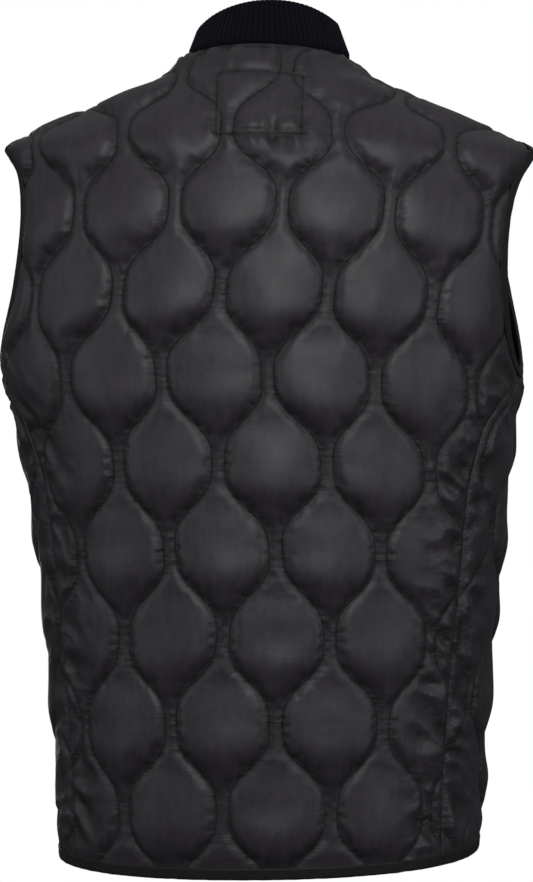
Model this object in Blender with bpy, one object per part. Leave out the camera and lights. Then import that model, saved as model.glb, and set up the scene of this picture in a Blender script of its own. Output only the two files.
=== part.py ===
"""A quilted vest with a rib knit stand collar, filled out as when worn, with no wearer.

Metres, +Z up. The front faces -Y, the wearer's left is +X, and the origin is the middle of the
neck's base, level with the shoulders. Every piece is laid out flat, as it is cut: `across` runs
round the body and `up` runs along it. The body's form then carries the flat layout into space.
"""

import math

import bmesh
import bpy
import numpy as np
from mathutils.geometry import delaunay_2d_cdt

# Level sections of the body, from the hem up. The last three lie inside the neck.
SECTIONS = {
    "level": (-0.7000, -0.6400, -0.5600, -0.4600, -0.3700, -0.3100, -0.2660, -0.2000,
              -0.1320, -0.1020, -0.0845, -0.0725, -0.0395, -0.0185, 0.0000, 0.0120, 0.0340),
    "width": (0.1800, 0.1800, 0.1840, 0.1940, 0.2040, 0.2145, 0.2240, 0.2250,
              0.2270, 0.2310, 0.2350, 0.2120, 0.1320, 0.0915, 0.0680, 0.0400, 0.0000),
    "back": (0.1420, 0.1430, 0.1440, 0.1440, 0.1430, 0.1420, 0.1410, 0.1390,
             0.1325, 0.1260, 0.1210, 0.1170, 0.1000, 0.0845, 0.0700, 0.0610, 0.0450),
    "front": (0.1400, 0.1410, 0.1430, 0.1430, 0.1420, 0.1410, 0.1390, 0.1300,
              0.1090, 0.0920, 0.0825, 0.0755, 0.0575, 0.0465, 0.0380, 0.0330, 0.0250),
    "power": (2.20, 2.20, 2.20, 2.20, 2.25, 2.30, 2.30, 2.25,
              2.10, 1.95, 1.85, 1.80, 1.75, 1.85, 2.00, 2.00, 2.00),
    # the rise of the wearer's left side for each metre across: the garment hangs a little crooked
    "tilt": (-0.030, -0.024, -0.015, -0.005, 0.008, 0.014, 0.016, 0.017,
             0.017, 0.017, 0.017, 0.017, 0.017, 0.017, 0.017, 0.017, 0.017),
}
# The side seam: how far behind the body's widest line it lies at each level.
SIDE_SEAM = {
    "level": (-0.700, -0.560, -0.370, -0.320, -0.290, -0.266),
    "behind": (0.080, 0.079, 0.078, 0.070, 0.048, 0.010),
}

HEM_LEVEL = -0.686
UNDERARM_LEVEL = -0.266
WIDEST_LEVEL = -0.0845  # the form's widest place, above which it closes in to the neck
TIP_HALF_WIDTH = 0.226  # outer end of the shoulder
NECK_HALF_WIDTH = 0.068
NECK_RISE = 0.006  # the back of the neck seam above its sides
NECK_DROP = 0.078  # the front of the neck seam below its sides
ARMHOLE_BACK = 0.060  # reach of the armhole behind the shoulder line
ARMHOLE_FRONT = 0.064

CLOTH = 0.0022  # thickness at a stitch line or an edge
SEAM_GAP = 0.0003
QUILT_PITCH = 0.088  # from one narrow place to the next, across
QUILT_DROP = 0.143  # and down
NECK_GAP = 0.0105  # between two stitch lines where they nearly meet
PUFF_SHARE = 0.108  # height of a puff for each metre of its width
CALM_SHARE = 0.35  # of that height, where the padding lies thin along the side and shoulder seams
CALM_REACH = {"side": 0.090, "shoulder": 0.060}  # and how far from them it comes back
QUILT_ROWS = 12  # rows of points in one drop
PUFF_STEP = 0.0175  # spacing of points across a puff
EDGE_STEP = 0.0160  # spacing of points along an edge
NECK_STEP = 0.0065  # and along the neckline, which is rounder
CENTRE_STEP = 0.0120  # and along the fronts' edges beside the zip
ARMHOLE_POINTS = 27  # along half of an armhole
INSIDE_STEP = 0.036  # spacing of points on the plain inside
BACK_QUILT = (-0.026, -0.266)  # one narrow place of the back's quilting, across and up
FRONT_QUILT = (0.052, -0.231)

PATCH_HALF_WIDTH = 0.034  # the stitched rectangle below the back of the neck
PATCH_CENTRE = -0.004
PATCH_LEVELS = (-0.074, -0.020)
PATCH_VALLEY = 0.009

BINDING_WIDTH = 0.009
BINDING_WALL = 0.0012
BINDING_CLEAR = 0.0009
BOUND_MARGIN = 0.010  # flat strip of cloth inside a binding
MARGIN_BLEND = 0.030  # over which that strip's edge turns to meet a seam
CLOSE = 0.005  # the least distance kept between loose points

COLLAR_WALL = 0.0030
COLLAR_HEIGHTS = {"turn": (0.0, 0.25, 0.5, 0.75, 1.0), "height": (0.0405, 0.0360, 0.0285, 0.0330, 0.0390)}
COLLAR_LEAN = {"turn": (0.0, 0.5, 1.0), "degrees": (20.0, 17.0, 4.0)}
COLLAR_CLEAR = 0.00035
RIBS = 96
RIB_HEIGHT = 0.0010
RIB_START = 0.006  # the ribs stand straight from here up

ZIP_GAP = 0.0065  # half the distance between the two fronts
TAPE_INNER = 0.0033
TAPE_WALL = 0.0008
TAPE_CLEAR = 0.0006
CHAIN_HALF_WIDTH = 0.0029
CHAIN_FACE = 0.0016
CHAIN_BACK = -0.0012
BOX_LEVELS = (0.0020, 0.0092)  # above the hem
BOX_HALF_WIDTH = 0.0045
BOX_WALL = 0.0008
SLIDER_BELOW_TOP = 0.012
SLIDER_LENGTH = 0.011
SLIDER_HALF_WIDTH = 0.0042
PLATE = 0.0011
BAR_OUT = 0.0052  # the pull tab's axis in front of the zip's middle plane
BAR_RADIUS = 0.0007
TAB_HOLE = 0.0011
TAB_RING = 0.0019
TAB_LENGTH = 0.027
TAB_HALF_WIDTH = 0.0030
TAB_WALL = 0.0014
TAB_EYE_HALF_WIDTH = 0.0015
TAB_LEAN = math.radians(4.0)
POST_PLACE = 0.0024
COLLAR_ROWS = 5

COLOURS = {
    "satin": (0.0275, 0.0250, 0.0275, 1.0),
    "rib_knit": (0.0060, 0.0068, 0.0110, 1.0),
    "binding": (0.0210, 0.0195, 0.0215, 1.0),
    "zip_tape": (0.0110, 0.0110, 0.0120, 1.0),
    "zip_metal": (0.0450, 0.0450, 0.0470, 1.0),
}
ROUGHNESS = {"satin": 0.42, "rib_knit": 0.95, "binding": 0.50, "zip_tape": 0.85, "zip_metal": 0.35}

BACK, FRONT = 1, -1
RIDGE_BLEND = 0.012  # within which the two sides' directions turn to match at the shoulder


# ---------------------------------------------------------------- the body's form

def smooth_rows(table, name, level):
    """A column of a section table at any level, by a monotone cubic."""
    x = np.array(table["level"])
    y = np.array(table[name])
    rise = np.diff(y) / np.diff(x)
    slope = np.zeros(len(y))
    same = rise[1:] * rise[:-1] > 0
    slope[1:-1][same] = 2.0 / (1.0 / rise[1:][same] + 1.0 / rise[:-1][same])
    slope[0], slope[-1] = rise[0], rise[-1]
    level = np.clip(level, x[0], x[-1])
    row = np.clip(np.searchsorted(x, level, side="right") - 1, 0, len(x) - 2)
    span = x[row + 1] - x[row]
    t = (level - x[row]) / span
    start = (1 + 2 * t) * (1 - t) ** 2 * y[row] + t * (1 - t) ** 2 * span * slope[row]
    return start + t * t * (3 - 2 * t) * y[row + 1] + t * t * (t - 1) * span * slope[row + 1]


def form(name, level):
    return smooth_rows(SECTIONS, name, level)


WIDEST = 1.0 - 1e-7  # the largest share of the half width whose rising line has a length
RIDGE_LEVELS = np.linspace(WIDEST_LEVEL, SECTIONS["level"][-1], 400)
RIDGE_WIDTHS = form("width", RIDGE_LEVELS)


def ridge_level(x):
    """The level of the shoulder line at a distance from the middle."""
    return np.interp(x, RIDGE_WIDTHS[::-1], RIDGE_LEVELS[::-1])


def depth_of(side, level):
    return form("back" if side == BACK else "front", level)


def wall_depth(x, level, side):
    """How far the wall stands behind (or before) the shoulder line."""
    power = form("power", level)
    share = np.clip(x / np.maximum(form("width", level), 1e-9), 0.0, 1.0)
    return depth_of(side, level) * (1.0 - share ** power) ** (1.0 / power)


def ring_lines(level, side, reach=0.86, samples=160):
    """For each level, half of its section from the middle of one side round towards the other."""
    angle = np.linspace(0.0, reach * math.pi, samples)[None, :]
    level = np.asarray(level, float)[:, None]
    power = 2.0 / form("power", level)
    near = np.cos(angle) >= 0
    depth = np.where(near, depth_of(side, level), depth_of(-side, level))
    x = form("width", level) * np.sin(angle) ** power
    y = side * depth * np.sign(np.cos(angle)) * np.abs(np.cos(angle)) ** power
    return np.stack([x, y, level + 0 * x], axis=-1)


def rising_lines(share, side, below=24, above=40):
    """For each share of the underarm section's half width, the wall's line from there to the ridge."""
    share = np.asarray(share, float)[:, None]
    low = np.linspace(UNDERARM_LEVEL, WIDEST_LEVEL, below)[None, :] + 0 * share
    x_low = share * form("width", low)
    x_high = share * form("width", WIDEST_LEVEL)
    top = ridge_level(x_high)
    closing = np.linspace(1.0, 0.0, above + 1)[None, 1:]
    high = top - (top - WIDEST_LEVEL) * closing ** 2
    level = np.concatenate([low, high], axis=1)
    x = np.concatenate([x_low, x_high + 0 * high], axis=1)
    return np.stack([x, side * wall_depth(x, level, side), level], axis=-1)


def lengths_along(lines):
    steps = np.linalg.norm(np.diff(lines, axis=1), axis=2)
    return np.concatenate([np.zeros((len(lines), 1)), np.cumsum(steps, axis=1)], axis=1)


def at_length(lines, length):
    """The point of each line at a length along it."""
    run = lengths_along(lines)
    row = np.clip((run <= length[:, None]).sum(axis=1) - 1, 0, lines.shape[1] - 2)
    pick = np.arange(len(lines))
    t = (length - run[pick, row]) / np.maximum(run[pick, row + 1] - run[pick, row], 1e-9)
    start = lines[pick, row]
    return start + t[:, None] * (lines[pick, row + 1] - start)


def width_share(across, side):
    """The share of the half width that a distance round the underarm section reaches."""
    line = ring_lines([UNDERARM_LEVEL], side, reach=0.5)
    run = lengths_along(line)[0]
    share = np.interp(across, run, line[0, :, 0]) / form("width", UNDERARM_LEVEL)
    return np.clip(share, 0.0, WIDEST)


def wall_points(flat, side):
    """The body's inner wall at flat places: `across` from the middle of this side, and `up`."""
    flat = np.asarray(flat, float)
    across, up = np.abs(flat[:, 0]), flat[:, 1]
    out = np.empty((len(flat), 3))
    low = up <= UNDERARM_LEVEL
    if low.any():
        out[low] = at_length(ring_lines(up[low], side), across[low])
    if (~low).any():
        lines = rising_lines(width_share(across[~low], side), side)
        out[~low] = at_length(lines, up[~low] - UNDERARM_LEVEL)
    out[:, 0] *= np.sign(flat[:, 0]) + (flat[:, 0] == 0)
    out[:, 2] += form("tilt", out[:, 2]) * out[:, 0]
    return out


def quarter_length(side):
    """The distance round the underarm section from the middle of a side to the widest line."""
    return lengths_along(ring_lines([UNDERARM_LEVEL], side, reach=0.5))[0, -1]


def wall_normals(flat, side, step=0.006):
    """The directions out of the wall, taken over a short distance within this side's layout."""
    flat = np.asarray(flat, float)
    across, up = np.abs(flat[:, 0]), flat[:, 1]
    quarter, high = quarter_length(side), up > UNDERARM_LEVEL
    out = across + step
    out[high] = np.minimum(out[high], quarter)
    lines = rising_lines(width_share(across, side), side)
    top = np.where(across > quarter, UNDERARM_LEVEL, UNDERARM_LEVEL + lengths_along(lines)[:, -1])
    rim = np.minimum(up + step, top)

    def place(x, y):
        return wall_points(np.stack([x, y], axis=1), side)

    along = place(out, up) - place(out - 2 * step, up)
    rise = place(across, rim) - place(across, rim - 2 * step)
    normal = -side * np.cross(along, rise)
    here = place(across, up)
    normal[high, 1] *= np.clip(np.abs(here[high, 1]) / RIDGE_BLEND, 0.0, 1.0)
    normal[:, 0] *= np.where(flat[:, 0] < 0, -1.0, 1.0)
    return normal / np.linalg.norm(normal, axis=1)[:, None]


def flat_place(x, level, side):
    """Where a place of the wall, above the underarm, lies in the flat layout."""
    share = min(float(x / form("width", min(level, WIDEST_LEVEL))), WIDEST)
    ring = ring_lines([UNDERARM_LEVEL], side, reach=0.5)
    across = np.interp(share * form("width", UNDERARM_LEVEL), ring[0, :, 0], lengths_along(ring)[0])
    line = rising_lines([share], side)
    up = np.interp(level, line[0, :, 2], lengths_along(line)[0])
    return float(across), UNDERARM_LEVEL + float(up)


def ring_length(level, behind, side):
    """The distance round a low section from the middle of one side to the side seam."""
    line = ring_lines([level], side)
    reach = -behind if side == FRONT else behind
    run = lengths_along(line)[0]
    return float(np.interp(-reach, -side * line[0, :, 1], run))


# ---------------------------------------------------------------- edges of the flat pieces

def spaced(points, margins=(False, False), step=EDGE_STEP):
    """A line's points at even spacing, with one at a binding's margin from each end that asks."""
    points = np.asarray(points, float)
    run = np.concatenate([[0.0], np.cumsum(np.linalg.norm(np.diff(points, axis=0), axis=1))])
    first = BOUND_MARGIN if margins[0] else 0.0
    last = run[-1] - (BOUND_MARGIN if margins[1] else 0.0)
    places = np.linspace(first, last, max(2, round((last - first) / step) + 1))
    places = np.unique(np.concatenate([[0.0], places, [run[-1]]]))
    return np.stack([np.interp(places, run, points[:, i]) for i in range(points.shape[1])], axis=1)


def neck_place(turn):
    """The neck seam: turn 0 at the middle of the back, 0.5 at the left shoulder, 1 at the front."""
    angle = turn * math.pi
    side = BACK if math.cos(angle) >= -1e-9 else FRONT
    level = (NECK_RISE if side == BACK else -NECK_DROP) * math.cos(angle) ** 2
    across, up = flat_place(NECK_HALF_WIDTH * abs(math.sin(angle)), level, side)
    return math.copysign(across, math.sin(angle)), up, side


def neck_point(turn):
    across, up, side = neck_place(turn)
    return wall_points([[across, up]], side)[0]


def neckline(first, last, count=60):
    return [neck_place(turn)[:2] for turn in np.linspace(first, last, count)]


def shoulder_line(side):
    """The shoulder seam, from the neck out, set back by half the gap."""
    x = np.linspace(NECK_HALF_WIDTH, TIP_HALF_WIDTH, 60)
    line = spaced(np.stack([x, ridge_level(x)], axis=1), (False, True))
    places = [flat_place(x, float(level), side) for x, level in line]
    return np.array(places) - (0.0, SEAM_GAP / 2)


def armhole(side):
    """The armhole's edge on one side of the shoulder line, from the tip down to the underarm."""
    reach = ARMHOLE_BACK if side == BACK else ARMHOLE_FRONT
    tip = float(ridge_level(TIP_HALF_WIDTH))
    middle, half = (tip + UNDERARM_LEVEL) / 2, (tip - UNDERARM_LEVEL) / 2
    end = math.pi
    if side == BACK:
        end -= math.asin((SIDE_SEAM["behind"][-1] / reach) ** (1 / 0.9))
    places = []
    for angle in np.linspace(0.0, end, ARMHOLE_POINTS):
        level = middle + half * math.cos(angle)
        away = reach * math.sin(angle) ** 0.9
        power = form("power", level)
        x = form("width", level) * (1 - (away / depth_of(side, level)) ** power) ** (1 / power)
        places.append(flat_place(x, level, side))
    return np.array(places)


def side_seam(side):
    """The side seam, from the underarm down, set back by half the gap."""
    level = np.linspace(UNDERARM_LEVEL, HEM_LEVEL, 90)
    behind = smooth_rows(SIDE_SEAM, "behind", level)
    places = [(ring_length(z, y, side) - SEAM_GAP / 2, z)
              for y, z in spaced(np.stack([behind, level], axis=1), (True, True))]
    return np.array(places)


def mirrored(edge):
    """An edge of the other half of a piece, still with the cloth on its left."""
    return edge[::-1] * (-1.0, 1.0)


def margin_row(edges, number):
    """The row of points a binding's margin inside an edge. The cloth lies on the edge's left, and
    the row's ends lie on the edges before and after it."""
    edge, before, after = edges[number], edges[number - 1], edges[(number + 1) % len(edges)]
    run = np.gradient(edge, axis=0)
    run /= np.linalg.norm(run, axis=1)[:, None]
    offset = np.stack([-run[:, 1], run[:, 0]], axis=1) * BOUND_MARGIN
    length = np.concatenate([[0.0], np.cumsum(np.linalg.norm(np.diff(edge, axis=0), axis=1))])
    for near, target in ((length, before[-2] - edge[0]), (length[-1] - length, after[1] - edge[-1])):
        pull = ease(1 - near / MARGIN_BLEND)[:, None]
        offset = offset * (1 - pull) + target * pull
    return edge + offset


def distance_to(points, line):
    """The least flat distance of each point from a line of points."""
    a, b = line[:-1][None], line[1:][None]
    p = points[:, None, :]
    span = b - a
    t = np.clip(((p - a) * span).sum(-1) / np.maximum((span ** 2).sum(-1), 1e-15), 0, 1)
    return np.linalg.norm(p - a - t[..., None] * span, axis=-1).min(axis=1)


def inside(points, outline):
    """Which points lie within a closed outline."""
    x, y = points[:, 0][:, None], points[:, 1][:, None]
    x0, y0 = outline[:, 0][None], outline[:, 1][None]
    x1, y1 = np.roll(outline[:, 0], -1)[None], np.roll(outline[:, 1], -1)[None]
    spans = (y0 > y) != (y1 > y)
    crossing = x < x0 + (x1 - x0) * (y - y0) / np.where(y1 == y0, 1e-12, y1 - y0)
    return (spans & crossing).sum(axis=1) % 2 == 1


# ---------------------------------------------------------------- quilting

def ease(t):
    t = np.clip(t, 0.0, 1.0)
    return t * t * (3 - 2 * t)


def stitch_line(number, up, quilt):
    """Where a wavy stitch line runs: neighbours mirror each other and nearly meet at the necks."""
    phase = 2 * math.pi * (np.asarray(up) - quilt[1]) / QUILT_DROP
    wave = (np.cos(phase) - 0.1 * np.cos(3 * phase)) / 0.9
    swing = (QUILT_PITCH / 2 - NECK_GAP) / 2
    bend = -swing if number % 2 == 0 else swing
    return quilt[0] + (number + 0.5) * QUILT_PITCH / 2 + bend * wave


def puff_height(flat, quilt):
    """The padding's height between the two stitch lines beside each point."""
    first = np.floor((flat[:, 0] - quilt[0]) / (QUILT_PITCH / 2) - 0.5).astype(int)
    height = np.zeros(len(flat))
    for number in range(first.min() - 1, first.max() + 2):
        left = stitch_line(number, flat[:, 1], quilt)
        right = stitch_line(number + 1, flat[:, 1], quilt)
        if number % 2:
            left, right = np.minimum(left, right), np.maximum(left, right)
        t = (flat[:, 0] - left) / (right - left)
        held = (t > 0) & (t < 1)
        bulge = np.clip(4 * t * (1 - t), 0, 1) ** 0.75
        height[held] = (PUFF_SHARE * (right - left) * bulge)[held]
    return height


def quilt_points(outline, quilt):
    """Points along the stitch lines, as runs, and loose points between them."""
    low, high = outline.min(axis=0), outline.max(axis=0)
    row_step = QUILT_DROP / QUILT_ROWS
    first_row = math.floor((low[1] - quilt[1]) / row_step)
    rows = quilt[1] + row_step * np.arange(first_row, math.ceil((high[1] - quilt[1]) / row_step) + 1)
    first = math.floor((low[0] - quilt[0]) / (QUILT_PITCH / 2)) - 1
    last = math.ceil((high[0] - quilt[0]) / (QUILT_PITCH / 2)) + 1
    lines, loose = [], []
    for number in range(first, last + 1):
        left = stitch_line(number, rows, quilt)
        right = stitch_line(number + 1, rows, quilt)
        lines.append(np.stack([left, rows], axis=1))
        for x0, x1, up in zip(left, right, rows):
            parts = max(1, round((x1 - x0) / PUFF_STEP))
            loose += [(x0 + (x1 - x0) * i / parts, up) for i in range(1, parts)]
    return lines, np.array(loose)


def split_runs(line, kept):
    """The stretches of a line whose points are kept, in runs of two or more."""
    runs, run = [], []
    for point, keep in zip(line, kept):
        if keep:
            run.append(tuple(point))
        elif run:
            runs.append(run)
            run = []
    runs.append(run)
    return [r for r in runs if len(r) > 1]


# ---------------------------------------------------------------- meshes

def face_out(work):
    """Turns every face of a closed mesh outward."""
    work.normal_update()
    bmesh.ops.recalc_face_normals(work, faces=work.faces)
    if work.calc_volume(signed=True) < 0:
        bmesh.ops.reverse_faces(work, faces=work.faces)


def add_object(name, points, faces, material, collection):
    mesh = bpy.data.meshes.new(name)
    mesh.from_pydata([tuple(map(float, p)) for p in points], [], faces)
    work = bmesh.new()
    work.from_mesh(mesh)
    face_out(work)
    work.to_mesh(mesh)
    work.free()
    mesh.shade_smooth()
    mesh.materials.append(material)
    made = bpy.data.objects.new(name, mesh)
    collection.objects.link(made)
    return made


def triangulate(outline, runs, loose):
    """Triangles that fill an outline, keeping its edges and every run of points as edges."""
    points = [tuple(p) for p in outline]
    count = len(points)
    edges = [(i, (i + 1) % count) for i in range(count)]
    for run in runs:
        first = len(points)
        points += [tuple(p) for p in run]
        edges += [(first + i, first + i + 1) for i in range(len(run) - 1)]
    points += [tuple(p) for p in loose]
    out, _, faces, origin, _, _ = delaunay_2d_cdt(points, edges, [], 0, 1e-7, True)
    out, faces = np.array([tuple(p) for p in out]), np.array([tuple(f) for f in faces])
    faces = faces[inside(out[faces].mean(axis=1), outline)]
    place = {old: new for new, olds in enumerate(origin) for old in olds}
    return out, faces.tolist(), [place[i] for i in range(count)]


def wall_solid(name, side, outline, outer, inner, thickness, flip, material, collection):
    """A wall from two triangulated layers that share their rim: `thickness` gives the outer one.
    `flip` makes the other half's piece."""
    flat_out, faces_out, rim_out = triangulate(outline, *outer)
    flat_in, faces_in, rim_in = triangulate(outline, *inner)
    sign = (-1.0 if flip else 1.0, 1.0)
    outer_points = wall_points(flat_out * sign, side)
    outer_points += wall_normals(flat_out * sign, side) * thickness(flat_out)[:, None]
    inner_points = wall_points(flat_in * sign, side)
    shift = len(outer_points)
    faces = [tuple(f) for f in faces_out]
    faces += [tuple(shift + i for i in reversed(f)) for f in faces_in]
    for i, here in enumerate(rim_out):
        after = (i + 1) % len(rim_out)
        faces.append((rim_out[after], here, shift + rim_in[i], shift + rim_in[after]))
    points = np.concatenate([outer_points, inner_points])
    return add_object(name, points, faces, material, collection)


def loft(name, sections, closed, material, collection, far=(), slants=()):
    """A solid through rings of equally many points, closed on itself or capped at its ends.
    Between the points that `far` names and the rest, each quad is cut along the panel's slant."""
    count = len(sections[0])
    points = [p for section in sections for p in section]
    faces = []
    for i in range(len(sections) if closed else len(sections) - 1):
        here, after = i * count, (i + 1) % len(sections) * count
        for j in range(count):
            k = (j + 1) % count
            corners = (here + j, here + k, after + k, after + j)
            if (j in far) == (k in far):
                faces.append(corners)
                continue
            start = 0 if (j in far) == (slants[i] < 0) else 1
            corners = corners[start:] + corners[:start]
            faces += [(corners[0], corners[1], corners[2]), (corners[0], corners[2], corners[3])]
    if not closed:
        faces.append(tuple(range(count)))
        faces.append(tuple(len(points) - count + j for j in reversed(range(count))))
    return add_object(name, points, faces, material, collection)


# ---------------------------------------------------------------- panels

def inside_grid(outline):
    low, high = outline.min(axis=0), outline.max(axis=0)
    points = []
    for row, up in enumerate(np.arange(low[1], high[1], INSIDE_STEP)):
        start = low[0] + (row % 2) * INSIDE_STEP / 2
        points += [(across, up) for across in np.arange(start, high[0], INSIDE_STEP)]
    return np.array(points)


def panel(name, side, edges, bound, calm, quilt, patch, flip, material, collection):
    """A quilted panel. `edges` go round it with the cloth on their left; `bound` names those
    that a binding or a zip covers, where the padding is left out, and each one's slant. `calm`
    names the seams beside which the padding lies thin."""
    outline = np.concatenate([edge[:-1] for edge in edges])
    closed = np.concatenate([outline, outline[:1]])
    margins, ties, strips = [], [], []
    for number, slant in bound.items():
        edge, row = edges[number], margin_row(edges, number)
        margins.append([tuple(p) for p in row])
        strips.append(np.concatenate([edge, row[::-1]]))
        near, far = (edge[:-1], row[1:]) if slant > 0 else (edge[1:], row[:-1])
        ties += [[tuple(a), tuple(b)] for a, b in zip(near, far)]
        ties += [[tuple(a), tuple(b)] for a, b in zip(edge[1:-1], row[1:-1])]
    guides = [closed] + [np.array(run) for run in margins] + [np.array(run) for run in patch]

    def clear(points, least):
        found = inside(points, outline)
        for guide in guides:
            found &= distance_to(points, guide) > least
        for strip in strips:
            found &= ~inside(points, strip)
        return found

    lines, loose = quilt_points(outline, quilt)
    runs = margins + ties + patch
    for line in lines:
        runs += split_runs(line, clear(line, CLOSE))
    loose = loose[clear(loose, CLOSE * 1.2)]
    plain = inside_grid(outline)
    plain = plain[clear(plain, INSIDE_STEP * 0.4)]

    def thickness(flat):
        held = ease(distance_to(flat, closed) / 0.014)
        for row in margins:
            held *= ease(distance_to(flat, np.array(row)) / 0.016)
        for run in patch:
            held *= 0.12 + 0.88 * ease(distance_to(flat, np.array(run)) / PATCH_VALLEY)
        for number, seam in calm.items():
            away = distance_to(flat, edges[number]) / CALM_REACH[seam]
            held *= CALM_SHARE + (1 - CALM_SHARE) * ease(away)
        return CLOTH + puff_height(flat, quilt) * held

    return wall_solid(name, side, outline, (runs, loose), (margins + ties, plain), thickness,
                      flip, material, collection)


def half_edges(side):
    """The wearer's left half of a side: side seam, armhole and shoulder, going up."""
    seam, hole, shoulder = side_seam(side), armhole(side), shoulder_line(side)
    hole[-1], hole[0] = seam[0], shoulder[-1]
    return [seam[::-1], hole[::-1], shoulder[::-1]]


def back_edges():
    """Round the back piece: hem, the wearer's left side, the neck and the right side."""
    left = half_edges(BACK)
    low = left[0][0][0]
    hem = spaced([(-low, HEM_LEVEL), (low, HEM_LEVEL)], (True, True))
    neck = spaced(neckline(0.5, -0.5), step=NECK_STEP)
    neck[0], neck[-1] = left[-1][-1], left[-1][-1] * (-1.0, 1.0)
    return [hem] + left + [neck] + [mirrored(edge) for edge in left[::-1]]


def front_edges():
    """Round the wearer's left front: hem, side, neck and centre."""
    left = half_edges(FRONT)
    hem = spaced([(ZIP_GAP, HEM_LEVEL), left[0][0]], (True, True))
    neck = np.array(neckline(0.5, 1.0))
    neck = neck[neck[:, 0] > ZIP_GAP]
    top = (ZIP_GAP, neck[-1, 1])
    neck = np.concatenate([left[-1][-1:], neck[1:], [top]])
    neck = spaced(neck, (False, True), NECK_STEP)
    centre = spaced([top, (ZIP_GAP, HEM_LEVEL)], (True, True), CENTRE_STEP)
    return [hem] + left + [neck, centre]


def patch_runs():
    """The stitched rectangle's lines in the back's flat layout."""
    low = flat_place(0.0, PATCH_LEVELS[0], BACK)[1]
    high = flat_place(0.0, PATCH_LEVELS[1], BACK)[1]
    left, right = PATCH_CENTRE - PATCH_HALF_WIDTH, PATCH_CENTRE + PATCH_HALF_WIDTH
    corners = [(left, high), (left, low), (right, low), (right, high), (left, high)]
    return [[tuple(p) for p in spaced(pair)] for pair in zip(corners[:-1], corners[1:])]


# ---------------------------------------------------------------- bindings

BINDING_OVER = CLOTH + BINDING_CLEAR
BINDING_PAST = BINDING_CLEAR + BINDING_WALL
# Round the fold of a binding: the distance past the panel's rim and the height over its inner
# wall. The points that BINDING_FAR names stand at the ends of the two leaves.
BINDING_PROFILE = (
    (0.0, BINDING_OVER + BINDING_WALL),
    (0.0, BINDING_OVER + BINDING_WALL),
    (BINDING_PAST, CLOTH / 2),
    (0.0, -BINDING_PAST),
    (0.0, -BINDING_PAST),
    (0.0, -BINDING_CLEAR),
    (BINDING_CLEAR, -BINDING_CLEAR),
    (BINDING_CLEAR, BINDING_OVER),
    (0.0, BINDING_OVER),
)
BINDING_FAR = (0, 4, 5, 8)


def binding_sections(edges, number, side, flip=False):
    """Rings of a folded binding round an edge of a panel. `flip` mirrors the flat layout."""
    sign = np.array([-1.0 if flip else 1.0, 1.0])
    edge = edges[number] * sign
    rim = wall_points(edge, side)
    rim_normal = wall_normals(edge, side)
    inner = margin_row(edges, number) * sign
    leg = wall_points(inner, side)
    leg_normal = wall_normals(inner, side)
    reach = BINDING_WIDTH / BOUND_MARGIN
    away = rim - leg
    away /= np.linalg.norm(away, axis=1)[:, None]
    end, end_normal = rim + (leg - rim) * reach, rim_normal + (leg_normal - rim_normal) * reach
    rings = []
    for i in range(len(edge)):
        ring = []
        for number, (out, height) in enumerate(BINDING_PROFILE):
            far = number in BINDING_FAR
            start, normal = (end[i], end_normal[i]) if far else (rim[i], rim_normal[i])
            ring.append(start + away[i] * out + normal * height)
        rings.append(np.array(ring))
    return rings


def merged(first, second):
    """Two runs of rings end to end, their meeting rings made one."""
    middle = (first[-1] + second[0]) / 2
    return first[:-1] + [middle] + second[1:]


def armhole_binding(name, flip, backs, fronts, material, collection):
    back_run = binding_sections(backs, 2, BACK, flip)
    front_run = binding_sections(fronts, 2, FRONT, flip)
    rings = merged(back_run, front_run[::-1])
    rings[0] = (rings[0] + rings[-1]) / 2
    slants = [1] * (len(back_run) - 1) + [-1] * (len(front_run) - 1)
    return loft(name, rings[:-1], True, material, collection, BINDING_FAR, slants)


def hem_binding(backs, fronts, material, collection):
    left = binding_sections(fronts, 0, FRONT)
    back_run = binding_sections(backs, 0, BACK)
    right = binding_sections(fronts, 0, FRONT, flip=True)
    rings = merged(merged(right, back_run), left[::-1])
    slants = [1] * (len(right) + len(back_run) - 2) + [-1] * (len(left) - 1)
    return loft("hem_binding", rings, False, material, collection, BINDING_FAR, slants)


# ---------------------------------------------------------------- collar

def collar_frame(turn):
    """The collar's seat on the neck seam: its inner foot, rise, wall and foot directions. Beside
    the zip it runs straight, as the fronts do."""
    straight, end = turn_at(ZIP_GAP + BOUND_MARGIN), turn_at(ZIP_GAP)
    if abs(turn) <= straight:
        return collar_seat(turn)
    share = (abs(turn) - straight) / (end - straight)
    first, last = (collar_seat(math.copysign(t, turn)) for t in (straight, end))
    return tuple(a + (b - a) * share for a, b in zip(first, last))


def collar_seat(turn):
    step = 0.004
    across, up, side = neck_place(turn)
    point = wall_points([[across, up]], side)[0]
    normal = wall_normals([[across, up]], side)[0]
    along = neck_point(turn + step) - neck_point(turn - step)
    along /= np.linalg.norm(along)
    beyond = np.cross(along, normal)
    beyond *= math.copysign(1.0, beyond[2]) / np.linalg.norm(beyond)
    outward = np.array([along[1], -along[0], 0.0])
    outward *= math.copysign(1.0, outward[:2] @ (point[:2] + 1e-9)) / np.linalg.norm(outward)
    lean = math.radians(np.interp(abs(turn), COLLAR_LEAN["turn"], COLLAR_LEAN["degrees"]))
    rise = np.array([0.0, 0.0, math.cos(lean)]) - outward * math.sin(lean)
    wall = np.cross(rise, along)
    wall *= math.copysign(1.0, wall @ outward) / np.linalg.norm(wall)
    return point + beyond * COLLAR_CLEAR, rise, wall, normal


def collar_height(turn):
    return float(np.interp(abs(turn), COLLAR_HEIGHTS["turn"], COLLAR_HEIGHTS["height"]))


def turn_at(x):
    """The turn of a place of the front neck seam, from its distance across."""
    return 1.0 - math.asin(x / NECK_HALF_WIDTH) / math.pi


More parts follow.
